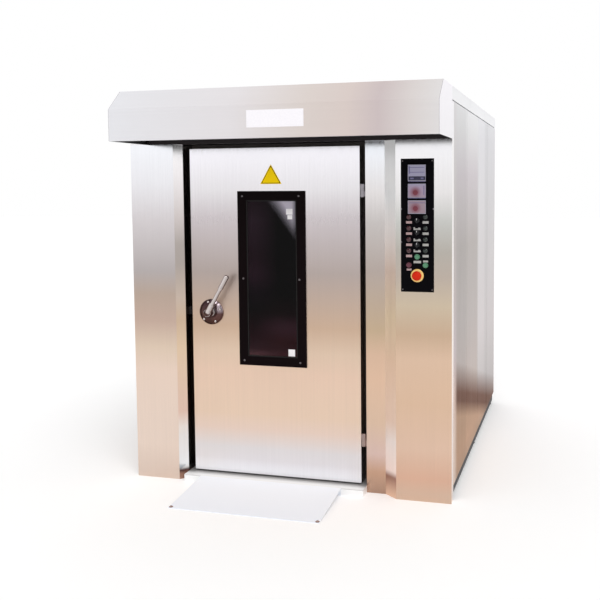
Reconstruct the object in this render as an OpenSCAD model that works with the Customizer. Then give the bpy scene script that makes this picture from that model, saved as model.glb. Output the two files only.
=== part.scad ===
// Rotating rack oven with a hood over its door, a window door on the right-hand hinge and a rotating rack carrier.
// Millimetres, +Z up. X runs along the front, Y runs from the front face to the back wall.
// The origin is on the floor, in the middle of the front face.

/* [Base] */
// Level of the sill and the chamber floor
floor_level = 40; // [36:1:44]
// Thickness of the outer sheets
sheet_t = 2; // [1.5:0.5:3]
// Height of the levelling feet
foot_h = 20; // [15:1:30]
// Radius of the levelling feet
foot_r = 18; // [14:1:20]
// Distance of the base rails behind the wall panels' faces
rail_inset = 10; // [6:1:14]
// Sheet thickness of the rails, the sill and the door frame
rail_wall = 3; // [2:0.5:4]
// Sheet thickness of the chamber floor
pan_t = 4; // [3:0.5:5]
// Distance that the sill stands out of the front face
sill_lip = 20; // [10:1:25]
// Half width of the solid block in the middle of the sill
sill_rib = 25; // [15:1:40]

/* [Wall panels] */
// Thickness of the outer wall panels
panel_t = 60; // [50:5:70]
// Height of the base rails below the wall panels
plinth_h = 80; // [60:5:100]
// Thickness of the roof panels
roof_t = 70; // [60:5:80]
// Shadow gap between wall panels and roof
roof_gap = 6; // [4:1:10]
// Panels along each side wall
side_count = 4; // [3:1:6]
// Panels across the back wall
rear_count = 3; // [2:1:4]
// Panels along the roof
roof_count = 3; // [2:1:4]
// Joint between neighbouring panels
joint_gap = 3; // [2:0.5:5]
// Edge chamfer of a wall panel
panel_chamfer = 4; // [2:1:6]
// Width of the roof's bearing ledge
roof_ledge = 10; // [6:1:14]
// Radius of the cable gland in the back wall
gland_r = 16; // [12:1:20]
// Distance of the cable gland from the side
gland_inset = 150; // [100:5:250]
// Distance of the cable gland below the roof
gland_drop = 224; // [150:2:400]

/* [Front posts] */
// Width of the jamb beside the hinges
jamb_w = 107; // [90:1:140]
// Width of the left post's front face
left_post_w = 265; // [230:5:290]
// Width of the right post's front face
right_post_w = 300; // [280:5:310]
// Chamfer between the left post's front face and the door gap
left_chamfer = 41; // [30:1:50]
// Width of the chamfer beside the hinge jamb
right_chamfer = 72; // [60:1:80]
// Distance of the door face behind the front face
door_recess = 60; // [55:1:70]

/* [Door] */
// Width of the door leaf
door_w = 1000; // [970:5:1020]
// Height of the door leaf
door_h = 1855; // [1800:5:1870]
// Thickness of the door leaf
door_t = 90; // [80:2:100]
// Height of the door's lower edge above the floor
door_bottom = 50; // [48:1:60]
// Gap between the left post and the door
latch_gap = 34; // [30:1:40]
// Gap between the door and the hinge jamb
hinge_gap = 31; // [30:1:36]
// Gap above the door
head_gap = 25; // [15:1:35]
// How far the door overlaps the doorway on each side
door_overlap = 40; // [30:1:50]
// Thickness of the sealing lip behind the door
gasket_t = 12; // [8:1:16]
// Radius of the hinge barrels
barrel_r = 12; // [10:0.5:13]
// Radius of the hinge pins
hinge_pin_r = 7; // [5:0.5:8]
// Length of one hinge half
barrel_l = 34; // [28:1:60]
// Width of the sealing lip
gasket_w = 24; // [16:1:30]
// Distance of the sealing lip from the door's edges
gasket_inset = 8; // [4:1:12]
// Distance of the brush under the door from the door's edges
brush_inset = 50; // [40:2:70]
// Distance of that brush behind the door's face
brush_setback = 40; // [30:1:60]
// Height of the lower hinge above the floor
low_hinge_z = 294; // [250:5:400]
// Height of the upper hinge above the floor
high_hinge_z = 1665; // [1500:5:1700]

/* [Window] */
// Outer width of the window frame
window_w = 400; // [360:5:440]
// Outer height of the window frame
window_h = 985; // [900:5:1020]
// Height of the window frame's lower edge above the floor
window_bottom = 680; // [640:5:720]
// Distance of the window's middle from the door's middle, to the left
window_shift = 10; // [0:1:30]
// Width of the frame's bars
window_bar = 51; // [40:1:60]
// Thickness of the frame in front of the door skin
window_frame_t = 6; // [4:1:8]
// Thickness of each pane
pane_t = 6; // [4:0.5:8]
// Cover of the panes under the bars
pane_cover = 14; // [10:1:20]

/* [Handle and latch] */
// Distance of the lever's axis from the door's left edge
lever_inset = 119; // [110:1:130]
// Height of the lever's axis above the floor
lever_z = 977; // [950:1:1050]
// Length of the lever from its axis
lever_l = 250; // [200:5:260]
// Lean of the lever from upright at rest
lever_lean = 30; // [25:1:40]
// Radius of the handle rosette
rosette_r = 73; // [65:1:80]
// Depth of the rosette
rosette_t = 18; // [14:1:24]
// Radius of the lever's hub
hub_r = 25; // [20:1:30]
// Distance of the lever's middle line from the door face
lever_reach = 56; // [50:1:60]
// Radius of the lever's arm
arm_r = 8; // [6:0.5:10]
// Radius of the lever's grip
grip_r = 12; // [10:0.5:14]
// Length of the grip
grip_l = 85; // [70:1:100]
// Radius of the lever's spindle
spindle_r = 8; // [6:0.5:9]
// Height and thickness of the latch bolt
bolt_size = 20; // [16:1:24]
// Travel of the latch bolt
bolt_travel = 30; // [28:1:31]
// Depth of the lock case
lock_case_t = 50; // [40:1:56]
// Thickness of the strike
strike_t = 16; // [14:1:20]
// Half the length of the strike
strike_arm = 22; // [18:1:35]
// Height of the lock case
case_h = 95; // [80:5:120]
// How far the lock case reaches past the lever's axis
case_reach = 34; // [28:1:40]

/* [Hood] */
// Height of the soffit over the door
soffit_h = 60; // [50:2:66]
// How far the hood stands out from the front face
hood_reach = 400; // [350:10:450]
// Height of the hood's upright face
hood_face_h = 165; // [150:5:180]
// Height of the hood's slope
hood_slope_h = 105; // [95:5:120]
// Setback of the hood's slope
hood_setback = 120; // [90:5:150]
// Distance of the hood's left end from the left wall
hood_inset = 105; // [60:5:130]
// Width of the lip along the hood's lower edge
hood_lip = 25; // [15:1:40]
// Thickness of the hood filters
filter_t = 30; // [20:2:40]
// Distance of the first filter from the hood's left end
filter_inset = 20; // [15:1:30]
// Width of one hood filter
filter_w = 330; // [280:5:350]
// Height of one hood filter
filter_h = 200; // [150:5:210]
// Gap between neighbouring hood filters
filter_gap = 8; // [4:1:15]
// Width of the bare sign plate on the hood
sign_w = 300; // [200:10:400]
// Height of the sign plate
sign_h = 86; // [60:2:120]
// Distance of the sign plate's middle from the middle of the front
sign_shift = 104; // [0:2:200]

/* [Controls] */
// Width of the control plate
plate_w = 175; // [170:1:185]
// Height of the control plate
plate_h = 700; // [690:5:720]
// Distance of the control plate below the hood
plate_drop = 100; // [90:5:130]
// Distance of the control plate from the post's left edge
plate_inset = 30; // [25:1:40]
// Thickness of the control plate
plate_t = 4; // [3:0.5:6]
// Spacing of the control columns
column_pitch = 44; // [42:1:48]
// Distance of the first lamp row below the plate's upper edge
lamp_drop = 305; // [295:1:320]
// Distance of the first selector below the plate's upper edge
selector_drop = 323; // [310:1:335]
// Height of the start button above the plate's lower edge
start_rise = 186; // [180:1:200]
// Height of the two side buttons above the plate's lower edge
side_rise = 142; // [135:1:150]
// Height of the emergency stop above the plate's lower edge
stop_rise = 87; // [70:1:95]
// Radius of the boss under the emergency stop
stop_boss_r = 36; // [32:1:40]
// Width of the display's fields
screen_w = 95; // [80:1:110]
// Distance of the display below the plate's upper edge
screen_drop = 32; // [25:1:40]
// Spacing of the lamp rows
lamp_pitch = 59; // [50:1:59]
// Spacing of the selector rows
selector_pitch = 64; // [52:1:64]
// Radius of the holes for lamps, buttons and selectors
control_r = 11.2; // [10:0.2:12]
// Running gap round a moving control
control_gap = 0.4; // [0.3:0.05:0.6]
// Radius of the bezels
bezel_r = 14; // [13.5:0.5:16]
// Height of the bezels
bezel_t = 4; // [3:0.5:6]
// Travel of a push button
button_travel = 3; // [2:0.5:4]
// Travel of the emergency stop
stop_travel = 5; // [4:0.5:6]
// Radius of the emergency stop's head
stop_head_r = 25; // [20:1:28]

/* [Electric panel] */
// Width of the mounting board
board_w = 500; // [450:10:600]
// Height of the mounting board
board_h = 900; // [800:10:1100]
// Thickness of the mounting board
board_t = 3; // [2:0.5:4]
// Devices in a row
board_units = 5; // [3:1:6]
// Height of a device
unit_h = 84; // [70:2:100]
// Depth of a device with its rail
unit_d = 80; // [60:2:100]
// Height of a device rail
rail_h = 36; // [30:1:40]
// Distance of the board behind the chamber's front
board_inset = 48; // [30:2:80]
// Distance of the board's upper edge below the ceiling
board_drop = 80; // [60:5:120]
// Distance of a device rail's ends from the board's edges
rail_margin = 30; // [20:1:50]

/* [Ramp] */
// Width of the ramp
ramp_w = 835; // [780:5:860]
// Distance of the ramp's front edge from the front face
ramp_reach = 420; // [380:5:480]
// Thickness of the ramp's sheet
ramp_t = 4; // [3:0.5:5]
// Shift of the ramp from the door's middle, to the left
ramp_shift = 12; // [0:1:30]
// Radius of the two floor anchor holes
anchor_r = 5.5; // [4.5:0.5:7]
// Distance of the anchor holes from the ramp's edges
anchor_inset = 12; // [11:1:20]

/* [Chamber] */
// Inner width of the baking chamber
chamber_w = 1200; // [1180:10:1240]
// Inner depth of the baking chamber
chamber_d = 1200; // [1160:10:1240]
// Height of the ceiling above the doorway
headroom = 15; // [10:1:30]
// Height of the door frame's head
frame_head_h = 120; // [100:2:130]
// Sheet thickness of the chamber
chamber_t = 3; // [2:0.5:4]
// Width of the air ducts beside the chamber
duct_w = 60; // [50:2:70]
// Thickness of the side and rear insulation
insulation_t = 120; // [100:5:120]
// Thickness of the roof insulation
top_insulation_t = 116; // [100:2:116]
// Depth of the heating compartment behind the chamber
heater_d = 300; // [280:5:320]
// Depth of the service bay behind the rear insulation
bay_d = 305; // [280:5:400]
// Thickness of the door frame behind the door
frame_t = 50; // [40:2:60]
// Distance of the oven lamp below the ceiling
oven_lamp_drop = 320; // [250:10:400]
// Distance of the air slots from the chamber's floor and ceiling
slot_margin = 120; // [100:5:150]
// Distance of the outer air slots from the chamber's ends
slot_inset = 150; // [120:5:180]
// Width of the oven lamp
lamp_w = 80; // [60:2:90]
// Length of the oven lamp's lens
lamp_l = 360; // [300:10:420]
// Air slots in each side wall of the chamber
slot_count = 7; // [4:1:9]
// Width of one air slot
slot_w = 18; // [12:1:24]

/* [Turntable and drive] */
// Radius of the turntable
table_r = 480; // [460:5:500]
// Thickness of the turntable
table_t = 6; // [5:0.5:8]
// Distance between the trolley guides
guide_spread = 660; // [620:5:680]
// Length of a trolley guide
guide_l = 700; // [640:10:720]
// Height of a trolley guide
guide_h = 30; // [20:1:40]
// Thickness of a trolley guide
guide_t = 6; // [4:0.5:8]
// Width of the trolley's end stop
stop_w = 240; // [180:10:300]
// Height of the trolley's end stop
stop_h = 60; // [40:2:80]
// Gap between the chamber floor and the turntable
table_lift = 4; // [3:0.5:6]
// Distance between the middles of the carrier's uprights
carrier_w = 860; // [840:5:900]
// Diameter of the carrier's uprights
upright_d = 30; // [25:1:34]
// Radius of the main shaft
shaft_r = 20; // [16:1:24]
// Radius of the lower pivot pin
pivot_r = 15; // [12:1:18]
// Wall of the pivot's bush
bush_wall = 12; // [8:1:14]
// Floor under the pivot in its bush
bush_floor = 8; // [6:1:10]
// Distance of the carrier's crossbar below the ceiling
carrier_drop = 60; // [50:2:80]
// Height of the carrier's crossbar
carrier_bar = 40; // [30:1:50]
// Radius of the pinion's shaft
pinion_shaft_r = 12; // [10:0.5:16]
// Radial running clearance of shafts and pins in their bearings
fit_gap = 0.05; // [0.03:0.01:0.1]
// Gear module
gear_module = 6; // [5.5:0.1:6]
// Teeth of the driven gear, a multiple of four so that it repeats at each quarter turn
gear_teeth = 60; // [56:4:60]
// Teeth of the drive pinion
pinion_teeth = 15; // [13:1:16]
// Face width of the gears
gear_t = 24; // [18:1:26]
// Height of the gears above the drive plate's underside
gear_lift = 50; // [48:1:56]
// Width of the top bearing's plate
bearing_plate = 260; // [220:10:280]
// Thickness of the top bearing's plate
drive_plate_t = 6; // [4:0.5:8]
// Height of the top bearing's housing
bearing_h = 40; // [30:1:40]
// Length of the pinion's shaft in the gearbox
pinion_seat = 20; // [15:1:25]
// Width of the gearbox
gearbox_w = 90; // [80:2:100]
// Radius of the drive motor
motor_r = 44; // [38:1:48]
// Length of the drive motor
motor_l = 170; // [140:5:200]

/* [Air and steam] */
// Height of the circulation fan's axis above the floor
fan_z = 1100; // [1000:10:1200]
// Radius of the fan impeller
impeller_r = 240; // [220:5:250]
// Width of the fan impeller
impeller_w = 110; // [90:5:120]
// Blades of the impeller
blade_count = 8; // [6:1:10]
// Radius of the fan shaft
fan_shaft_r = 14; // [12:1:18]
// Inner radius of the chamber's exhaust tube
flue_r = 75; // [60:5:85]
// Inner radius of the hood's exhaust collar
hood_collar_r = 90; // [80:5:95]
// Wall of the exhaust tubes
tube_t = 2; // [1.5:0.5:3]
// Height of the exhaust collars above the roof
collar_h = 70; // [50:5:80]
// How much wider a collar is than its pipe
collar_step = 1; // [0.5:0.5:2]
// Gap between the roof and the foot of a collar
collar_lift = 2; // [1:0.5:4]
// Width of a pipe's flange
pipe_flange_w = 7; // [5:0.5:7.5]
// Thickness of a pipe's flange
pipe_flange_t = 3; // [2:0.5:4]
// Distance of the hood's exhaust collar behind the front face
hood_collar_y = 450; // [350:10:480]
// Width of the hood's duct
hood_duct_w = 200; // [195:1:220]
// Height of the hood's duct
hood_duct_h = 96; // [80:2:98]
// Radius of the damper's pin
flap_pin_r = 5; // [4:0.5:6]
// Radius of the steam pipe
steam_pipe_r = 7; // [5:0.5:9]
// Distance of the impeller's back disc from the chamber's rear wall
fan_reach = 144; // [135:1:155]
// Length of the fan shaft inside its motor
fan_shaft_seat = 40; // [30:1:60]
// Radius of the fan motor
fan_motor_r = 85; // [75:1:95]
// Length of the fan motor
fan_motor_l = 190; // [170:5:210]
// Heater loops
loop_count = 5; // [3:1:5]
// Spacing of the heater loops
loop_pitch = 60; // [50:1:62]
// Width of one heater loop
loop_w = 80; // [60:2:90]
// Height of the heater's foot rail
loop_rail_h = 40; // [30:1:50]
// Radius of the heater tube
loop_r = 6; // [5:0.5:8]
// Distance of the heater's top bends below the ceiling
heater_drop = 390; // [360:10:450]
// Distance of the steam cascade's top below the ceiling
cascade_drop = 340; // [300:10:400]
// Distance of the heater and the cascade from the sides of their compartment
bank_inset = 40; // [30:2:60]
// Distance of the exhaust pipe from the chamber's left side
flue_inset = 185; // [160:5:220]
// Distance of the exhaust pipe in front of the chamber's rear wall
flue_back = 270; // [200:5:320]
// Height of the damper's pin above the roof insulation
flap_rise = 70; // [60:2:74]
// Clear width of the steam cascade
cascade_w = 110; // [90:2:130]
// Thickness of a cascade bar
bar_t = 30; // [24:1:34]
// Radius of the spray holes
spray_r = 1.5; // [1:0.25:2]
// Width of the steam valve
valve_w = 60; // [50:1:70]
// Bars of the steam cascade
cascade_bars = 8; // [5:1:10]

/* [Hidden] */
$fn = 64;

// Small clearance between neighbouring bodies
clear = 0.3;
// Overlap that joins two shapes of one piece
weld = 1;

// Places along X
body_w = left_post_w + left_chamfer + latch_gap + door_w + hinge_gap + jamb_w + right_chamfer + right_post_w;
wall_x = body_w / 2;
door_x0 = -wall_x + left_post_w + left_chamfer + latch_gap;
door_x1 = door_x0 + door_w;
door_mid = (door_x0 + door_x1) / 2;
post_in_x = door_x0 - latch_gap;
jamb_x0 = door_x1 + hinge_gap;
jamb_x1 = jamb_x0 + jamb_w;
opening_x0 = door_x0 + door_overlap;
opening_x1 = door_x1 - door_overlap;
chamber_x0 = door_mid - chamber_w / 2;
chamber_x1 = door_mid + chamber_w / 2;
duct_x0 = chamber_x0 - duct_w;
duct_x1 = chamber_x1 + duct_w;
bay_x0 = duct_x1 + insulation_t;
core_x = wall_x - panel_t;
hood_x0 = -wall_x + hood_inset;

// Places along Y
frame_y = door_recess + door_t + gasket_t;
chamber_y0 = frame_y + frame_t;
chamber_y1 = chamber_y0 + chamber_d;
heater_y0 = chamber_y1 + chamber_t;
heater_y1 = heater_y0 + heater_d;
bay_y0 = heater_y1 + insulation_t;
core_y = bay_y0 + bay_d;
body_d = core_y + panel_t;
table_y = (chamber_y0 + chamber_y1) / 2;
ramp_x = door_mid - ramp_shift;

// Places along Z
door_top = door_bottom + door_h;
header_z = door_top + head_gap;
crease_z = header_z + hood_face_h;
body_h = crease_z + hood_slope_h;
wall_top = body_h - roof_t - roof_gap;
opening_z1 = door_top - door_overlap;
chamber_top = opening_z1 + headroom;
lid_z = chamber_top + chamber_t;
void_z = lid_z + top_insulation_t;
table_z = floor_level + table_lift;
table_top = table_z + table_t;

// Base rails
rail_w = panel_t - 2 * rail_inset;
rail_y1 = body_d - rail_inset;

// Window
window_x = door_mid - window_shift;
window_z = window_bottom + window_h / 2;
light_w = window_w - 2 * window_bar;
light_h = window_h - 2 * window_bar;
pane_w = light_w + 2 * pane_cover;
pane_h = light_h + 2 * pane_cover;
tunnel_w = pane_w + 4;
tunnel_h = pane_h + 4;

// Lever and latch
lever_x = door_x0 + lever_inset;
bolt_y = door_recess + door_t / 2;
lever_y = door_recess - lever_reach;
case_w = lever_inset + case_reach;

// Controls
plate_x0 = wall_x - right_post_w + plate_inset;
plate_x = plate_x0 + plate_w / 2;
plate_top = header_z - plate_drop;
plate_bottom = plate_top - plate_h;
lamp_top_z = plate_top - lamp_drop;
lamp_rows = 4;
selector_top_z = plate_top - selector_drop;
start_z = plate_bottom + start_rise;
side_button_z = plate_bottom + side_rise;
estop_z = plate_bottom + stop_rise;
screen_x = plate_x - 2;
screen_top = plate_top - screen_drop;
screen_pin_z = screen_top - 40;
screen_heights = [85, 73, 70];
screen_gap = 14;
screen_t = 3;

// Drive
gear_axes = gear_module * (gear_teeth + pinion_teeth) / 2;
pinion_x = door_mid + gear_axes;
gear_z = void_z + gear_lift;

// Ducts
flue_x = chamber_x0 + flue_inset;
flue_y = chamber_y1 - flue_back;
filter_x0 = hood_x0 + filter_inset;
filter_pitch = filter_w + filter_gap;
hood_duct_x = filter_x0 + filter_pitch + filter_w / 2;
hood_duct_z = void_z + 10;
hood_duct_y1 = hood_collar_y + hood_collar_r + 20;
flap_z = void_z + flap_rise;

// Rack carrier
carrier_z1 = chamber_top - carrier_drop;
carrier_z0 = carrier_z1 - carrier_bar;
shaft_z0 = carrier_z1 - carrier_bar / 2;

// Steam
cascade_y = heater_y0 + heater_d / 2;
cascade_top = chamber_top - cascade_drop;
steam_pipe_z = cascade_top + steam_pipe_r;

// Circulation fan
fan_back_y = heater_y0 + fan_reach;
fan_eye_r = impeller_r - 55;

// Pivot under the turntable
bush_neck_r = pivot_r + bush_wall;
bush_flange_r = pivot_r + 1.5 * bush_wall;

// A box from its lowest corner to its highest corner
module box(lo, hi) {
    translate(lo) cube(hi - lo);
}

// A cylinder that starts at a point and runs along Y
module rod_y(p, r, l) {
    translate(p) rotate([-90, 0, 0]) cylinder(r = r, h = l);
}

// A cylinder that starts at a point and runs along X
module rod_x(p, r, l) {
    translate(p) rotate([0, 90, 0]) cylinder(r = r, h = l);
}

// A cylinder that starts at a point and runs along Z
module rod_z(p, r, l) {
    translate(p) cylinder(r = r, h = l);
}

// Outline of a sheet of thickness t that is folded along a path, with the thickness on the path's left
function unit(v) = v / norm(v);
function left_of(a, b) = let (d = unit(b - a)) [-d[1], d[0]];
function before(p, i) = i == 0 ? left_of(p[0], p[1]) : left_of(p[i - 1], p[i]);
function after(p, i) = i == len(p) - 1 ? before(p, i) : left_of(p[i], p[i + 1]);
function mitre(p, i) = let (s = before(p, i) + after(p, i)) 2 * s / (s * s);
function folded(p, t) = concat(p, [for (i = [len(p) - 1 : -1 : 0]) p[i] + mitre(p, i) * t]);

// A folded sheet standing upright, its path seen from above
module upright_sheet(path, t, z0, z1) {
    translate([0, 0, z0]) linear_extrude(z1 - z0) polygon(folded(path, t));
}

// A shape drawn in Y and Z and stretched along X
module along_x(x0, x1) {
    translate([x0, 0, 0]) rotate([90, 0, 90]) linear_extrude(x1 - x0) children();
}

// A square tube from its lowest corner to its highest corner, open along one axis (0 is X, 1 is Y, 2 is Z)
module square_tube(lo, hi, t, axis) {
    wall = [for (i = [0 : 2]) i == axis ? -1 : t];
    difference() {
        box(lo, hi);
        box(lo + wall, hi - wall);
    }
}

// ---------------------------------------------------------------- base

module base_frame() {
    color("dimgray") {
        for (side = [-1, 1]) {
            x = side * (wall_x - panel_t / 2);
            square_tube([x - rail_w / 2, door_recess + rail_inset, foot_h],
                [x + rail_w / 2, rail_y1, plinth_h], rail_wall, 1);
        }
        rail_x = core_x + rail_inset - clear;
        square_tube([-rail_x, rail_y1 - rail_w, foot_h], [rail_x, rail_y1, plinth_h], rail_wall, 0);
    }
}

module levelling_feet() {
    spots = [door_recess + plinth_h, body_d / 2, body_d - plinth_h];
    color("black") {
        for (side = [-1, 1]) {
            for (y = spots) {
                rod_z([side * (wall_x - panel_t / 2), y, 0], foot_r, foot_h);
            }
        }
        rod_z([0, rail_y1 - rail_w / 2, 0], foot_r, foot_h);
    }
}

module floor_pan() {
    y1 = core_y - 30;
    color("silver") difference() {
        box([-core_x, chamber_y0, 0], [core_x, y1, floor_level]);
        box([-core_x + pan_t, chamber_y0 + pan_t, -1], [core_x - pan_t, y1 - pan_t, floor_level - pan_t]);
        rod_z([door_mid, table_y, 0], bush_neck_r + clear, floor_level + 1);
    }
}

module pivot_bush() {
    color("goldenrod") difference() {
        union() {
            rod_z([door_mid, table_y, 0], bush_flange_r, floor_level - pan_t);
            rod_z([door_mid, table_y, 0], bush_neck_r, floor_level);
        }
        rod_z([door_mid, table_y, bush_floor], pivot_r + fit_gap, floor_level);
    }
}

// ---------------------------------------------------------------- front

module left_post() {
    path = [
        [-wall_x, door_recess],
        [-wall_x, 0],
        [-wall_x + left_post_w, 0],
        [post_in_x, left_chamfer],
        [post_in_x, frame_y]
    ];
    color("silver") upright_sheet(path, sheet_t, 0, header_z);
}

module control_holes(depth) {
    rod_y([screen_x, -depth, screen_pin_z], control_r, 2 * depth);
    for (column = [-1, 1]) {
        for (row = [0 : lamp_rows - 1]) {
            rod_y([plate_x + column * column_pitch, -depth, lamp_top_z - row * lamp_pitch], control_r, 2 * depth);
        }
        rod_y([plate_x + column * column_pitch, -depth, side_button_z], control_r, 2 * depth);
    }
    for (row = [0 : 2]) {
        rod_y([plate_x, -depth, selector_top_z - row * selector_pitch], control_r, 2 * depth);
    }
    rod_y([plate_x, -depth, start_z], control_r, 2 * depth);
    rod_y([plate_x, -depth, estop_z], control_r, 2 * depth);
}

module right_post() {
    path = [
        [jamb_x1, frame_y],
        [jamb_x1, door_recess],
        [jamb_x1 + right_chamfer, 0],
        [wall_x, 0],
        [wall_x, door_recess]
    ];
    color("silver") difference() {
        upright_sheet(path, sheet_t, 0, header_z);
        control_holes(10);
    }
}

module hinge_jamb() {
    color("gainsboro") square_tube([jamb_x0, door_recess, 0], [jamb_x1, frame_y, header_z], rail_wall, 2);
}

module door_frame() {
    wall = rail_wall;
    color("dimgray") {
        square_tube([chamber_x0, frame_y, 0], [opening_x0, chamber_y0, opening_z1], wall, 2);
        square_tube([opening_x1, frame_y, 0], [chamber_x1, chamber_y0, opening_z1], wall, 2);
        square_tube([chamber_x0, frame_y, opening_z1 + clear], [chamber_x1, chamber_y0, opening_z1 + frame_head_h], wall, 0);
        sill_front = frame_y - clear;
        difference() {
            union() {
                box([post_in_x, -sill_lip, 0], [jamb_x0, sill_front, floor_level]);
                box([opening_x0 + clear, sill_front - weld, 0], [opening_x1 - clear, chamber_y0, floor_level]);
            }
            for (span = [[post_in_x + wall, -sill_rib], [sill_rib, jamb_x0 - wall]]) {
                box([span[0], -sill_lip + wall, -1], [span[1], sill_front - wall, floor_level - wall]);
            }
        }
    }
}

// A closed box of folded sheet
module sheet_box(lo, hi) {
    difference() {
        box(lo, hi);
        box(lo + [sheet_t, sheet_t, sheet_t], hi - [sheet_t, sheet_t, sheet_t]);
    }
}

// Five box sections, four of them round the mouth of the hood's duct and one over the door
module front_header() {
    left = hood_duct_x - hood_duct_w / 2;
    right = hood_duct_x + hood_duct_w / 2;
    color("silver") {
        sheet_box([-wall_x, 0, header_z], [left, door_recess, wall_top]);
        sheet_box([right, 0, header_z], [wall_x, door_recess, wall_top]);
        sheet_box([left + clear, 0, header_z], [right - clear, door_recess, hood_duct_z]);
        sheet_box([left + clear, 0, hood_duct_z + hood_duct_h], [right - clear, door_recess, wall_top]);
        sheet_box([chamber_x0, door_recess + clear, header_z], [chamber_x1, frame_y - clear, header_z + soffit_h]);
    }
}

module ramp() {
    back = -sill_lip - clear;
    rib_y0 = -ramp_reach + 60;
    rib_rise = ramp_t + (floor_level - ramp_t) * (rib_y0 + ramp_reach) / (back + ramp_reach);
    sink = ramp_t / 2;
    rib = [[rib_y0, 0], [back - sink, 0], [back - sink, floor_level - sink], [rib_y0, rib_rise - sink]];
    ribs = 4;
    rib_inset = 40;
    color("gainsboro") difference() {
        union() {
            along_x(ramp_x - ramp_w / 2, ramp_x + ramp_w / 2)
                polygon(folded([[back, 0], [back, floor_level], [-ramp_reach, ramp_t]], ramp_t));
            for (i = [0 : ribs - 1]) {
                x = ramp_x - ramp_w / 2 + rib_inset + i * (ramp_w - 2 * rib_inset) / (ribs - 1);
                along_x(x - ramp_t / 2, x + ramp_t / 2) polygon(rib);
            }
        }
        for (side = [-1, 1]) {
            rod_z([ramp_x + side * (ramp_w / 2 - anchor_inset), -ramp_reach + anchor_inset, -1], anchor_r, floor_level);
        }
    }
}

// ---------------------------------------------------------------- hood

module hood_front() {
    path = [
        [0, body_h],
        [-hood_reach + hood_setback, body_h],
        [-hood_reach, crease_z],
        [-hood_reach, header_z],
        [-hood_reach + hood_lip, header_z]
    ];
    color("silver") along_x(hood_x0 + sheet_t, wall_x - sheet_t) polygon(folded(path, sheet_t));
}

module sign_plate() {
    plate_sheet = 1.5;
    z0 = header_z + (hood_face_h - sign_h) / 2 + 13;
    color("white") box([sign_shift - sign_w / 2, -hood_reach - plate_sheet, z0],
        [sign_shift + sign_w / 2, -hood_reach, z0 + sign_h]);
}

module hood_ends() {
    side = [
        [-hood_reach, header_z],
        [-hood_reach, crease_z],
        [-hood_reach + hood_setback, body_h],
        [0, body_h],
        [0, header_z]
    ];
    color("silver") {
        along_x(hood_x0, hood_x0 + sheet_t) polygon(side);
        along_x(wall_x - sheet_t, wall_x) polygon(side);
    }
}

module hood_filters() {
    z0 = header_z + 22;
    rim = 15;
    face_t = 3;
    slots = 9;
    slot = 16;
    margin = 25;
    color("dimgray") {
        for (i = [0 : 2]) {
            x = filter_x0 + i * filter_pitch;
            difference() {
                box([x, -filter_t, z0], [x + filter_w, 0, z0 + filter_h]);
                box([x + rim, -filter_t + face_t, z0 + rim], [x + filter_w - rim, 1, z0 + filter_h - rim]);
                for (s = [0 : slots - 1]) {
                    sx = x + margin + s * (filter_w - 2 * margin) / (slots - 1);
                    box([sx - slot / 2, -filter_t - 1, z0 + rim + 5],
                        [sx + slot / 2, -filter_t + face_t + 1, z0 + filter_h - rim - 5]);
                }
            }
        }
    }
}

// ---------------------------------------------------------------- outer walls

// A tray-shaped panel skin that stands upright: its open side points inwards along -Y, with chamfered outer edges
module panel_tray(w, t) {
    c = panel_chamfer;
    s = sheet_t;
    k = c + s * tan(22.5);
    outline = [[0, 0], [w, 0], [w, t - c], [w - c, t], [c, t], [0, t - c]];
    hollow = [[s, -1], [w - s, -1], [w - s, t - k], [w - k, t - s], [k, t - s], [s, t - k]];
    translate([0, 0, plinth_h]) difference() {
        linear_extrude(wall_top - plinth_h) polygon(outline);
        translate([0, 0, s]) linear_extrude(wall_top - plinth_h - 2 * s) polygon(hollow);
    }
}

module side_panels() {
    run = body_d - door_recess;
    pitch = run / side_count;
    color("gainsboro") {
        for (i = [0 : side_count - 1]) {
            y0 = door_recess + i * pitch;
            translate([core_x, y0 + pitch - joint_gap / 2, 0]) rotate([0, 0, -90])
                panel_tray(pitch - joint_gap, panel_t);
            translate([-core_x, y0 + joint_gap / 2, 0]) rotate([0, 0, 90])
                panel_tray(pitch - joint_gap, panel_t);
        }
    }
}

module rear_panels() {
    run = 2 * core_x;
    pitch = run / rear_count;
    gland_x = core_x - gland_inset;
    gland_z = wall_top - gland_drop;
    color("gainsboro") {
        for (i = [0 : rear_count - 1]) {
            difference() {
                translate([-core_x + i * pitch + joint_gap / 2, core_y, 0]) panel_tray(pitch - joint_gap, panel_t);
                rod_y([gland_x, core_y, gland_z], gland_r, panel_t + 10);
            }
        }
        difference() {
            union() {
                rod_y([gland_x, body_d + clear, gland_z], gland_r + 8, 6);
                rod_y([gland_x, core_y + panel_t / 2, gland_z], gland_r - clear, panel_t / 2 + 2);
                rod_y([gland_x, body_d + clear, gland_z], gland_r + 2, 20);
            }
            rod_y([gland_x, core_y, gland_z], gland_r - 6, panel_t + 40);
        }
    }
}

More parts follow.
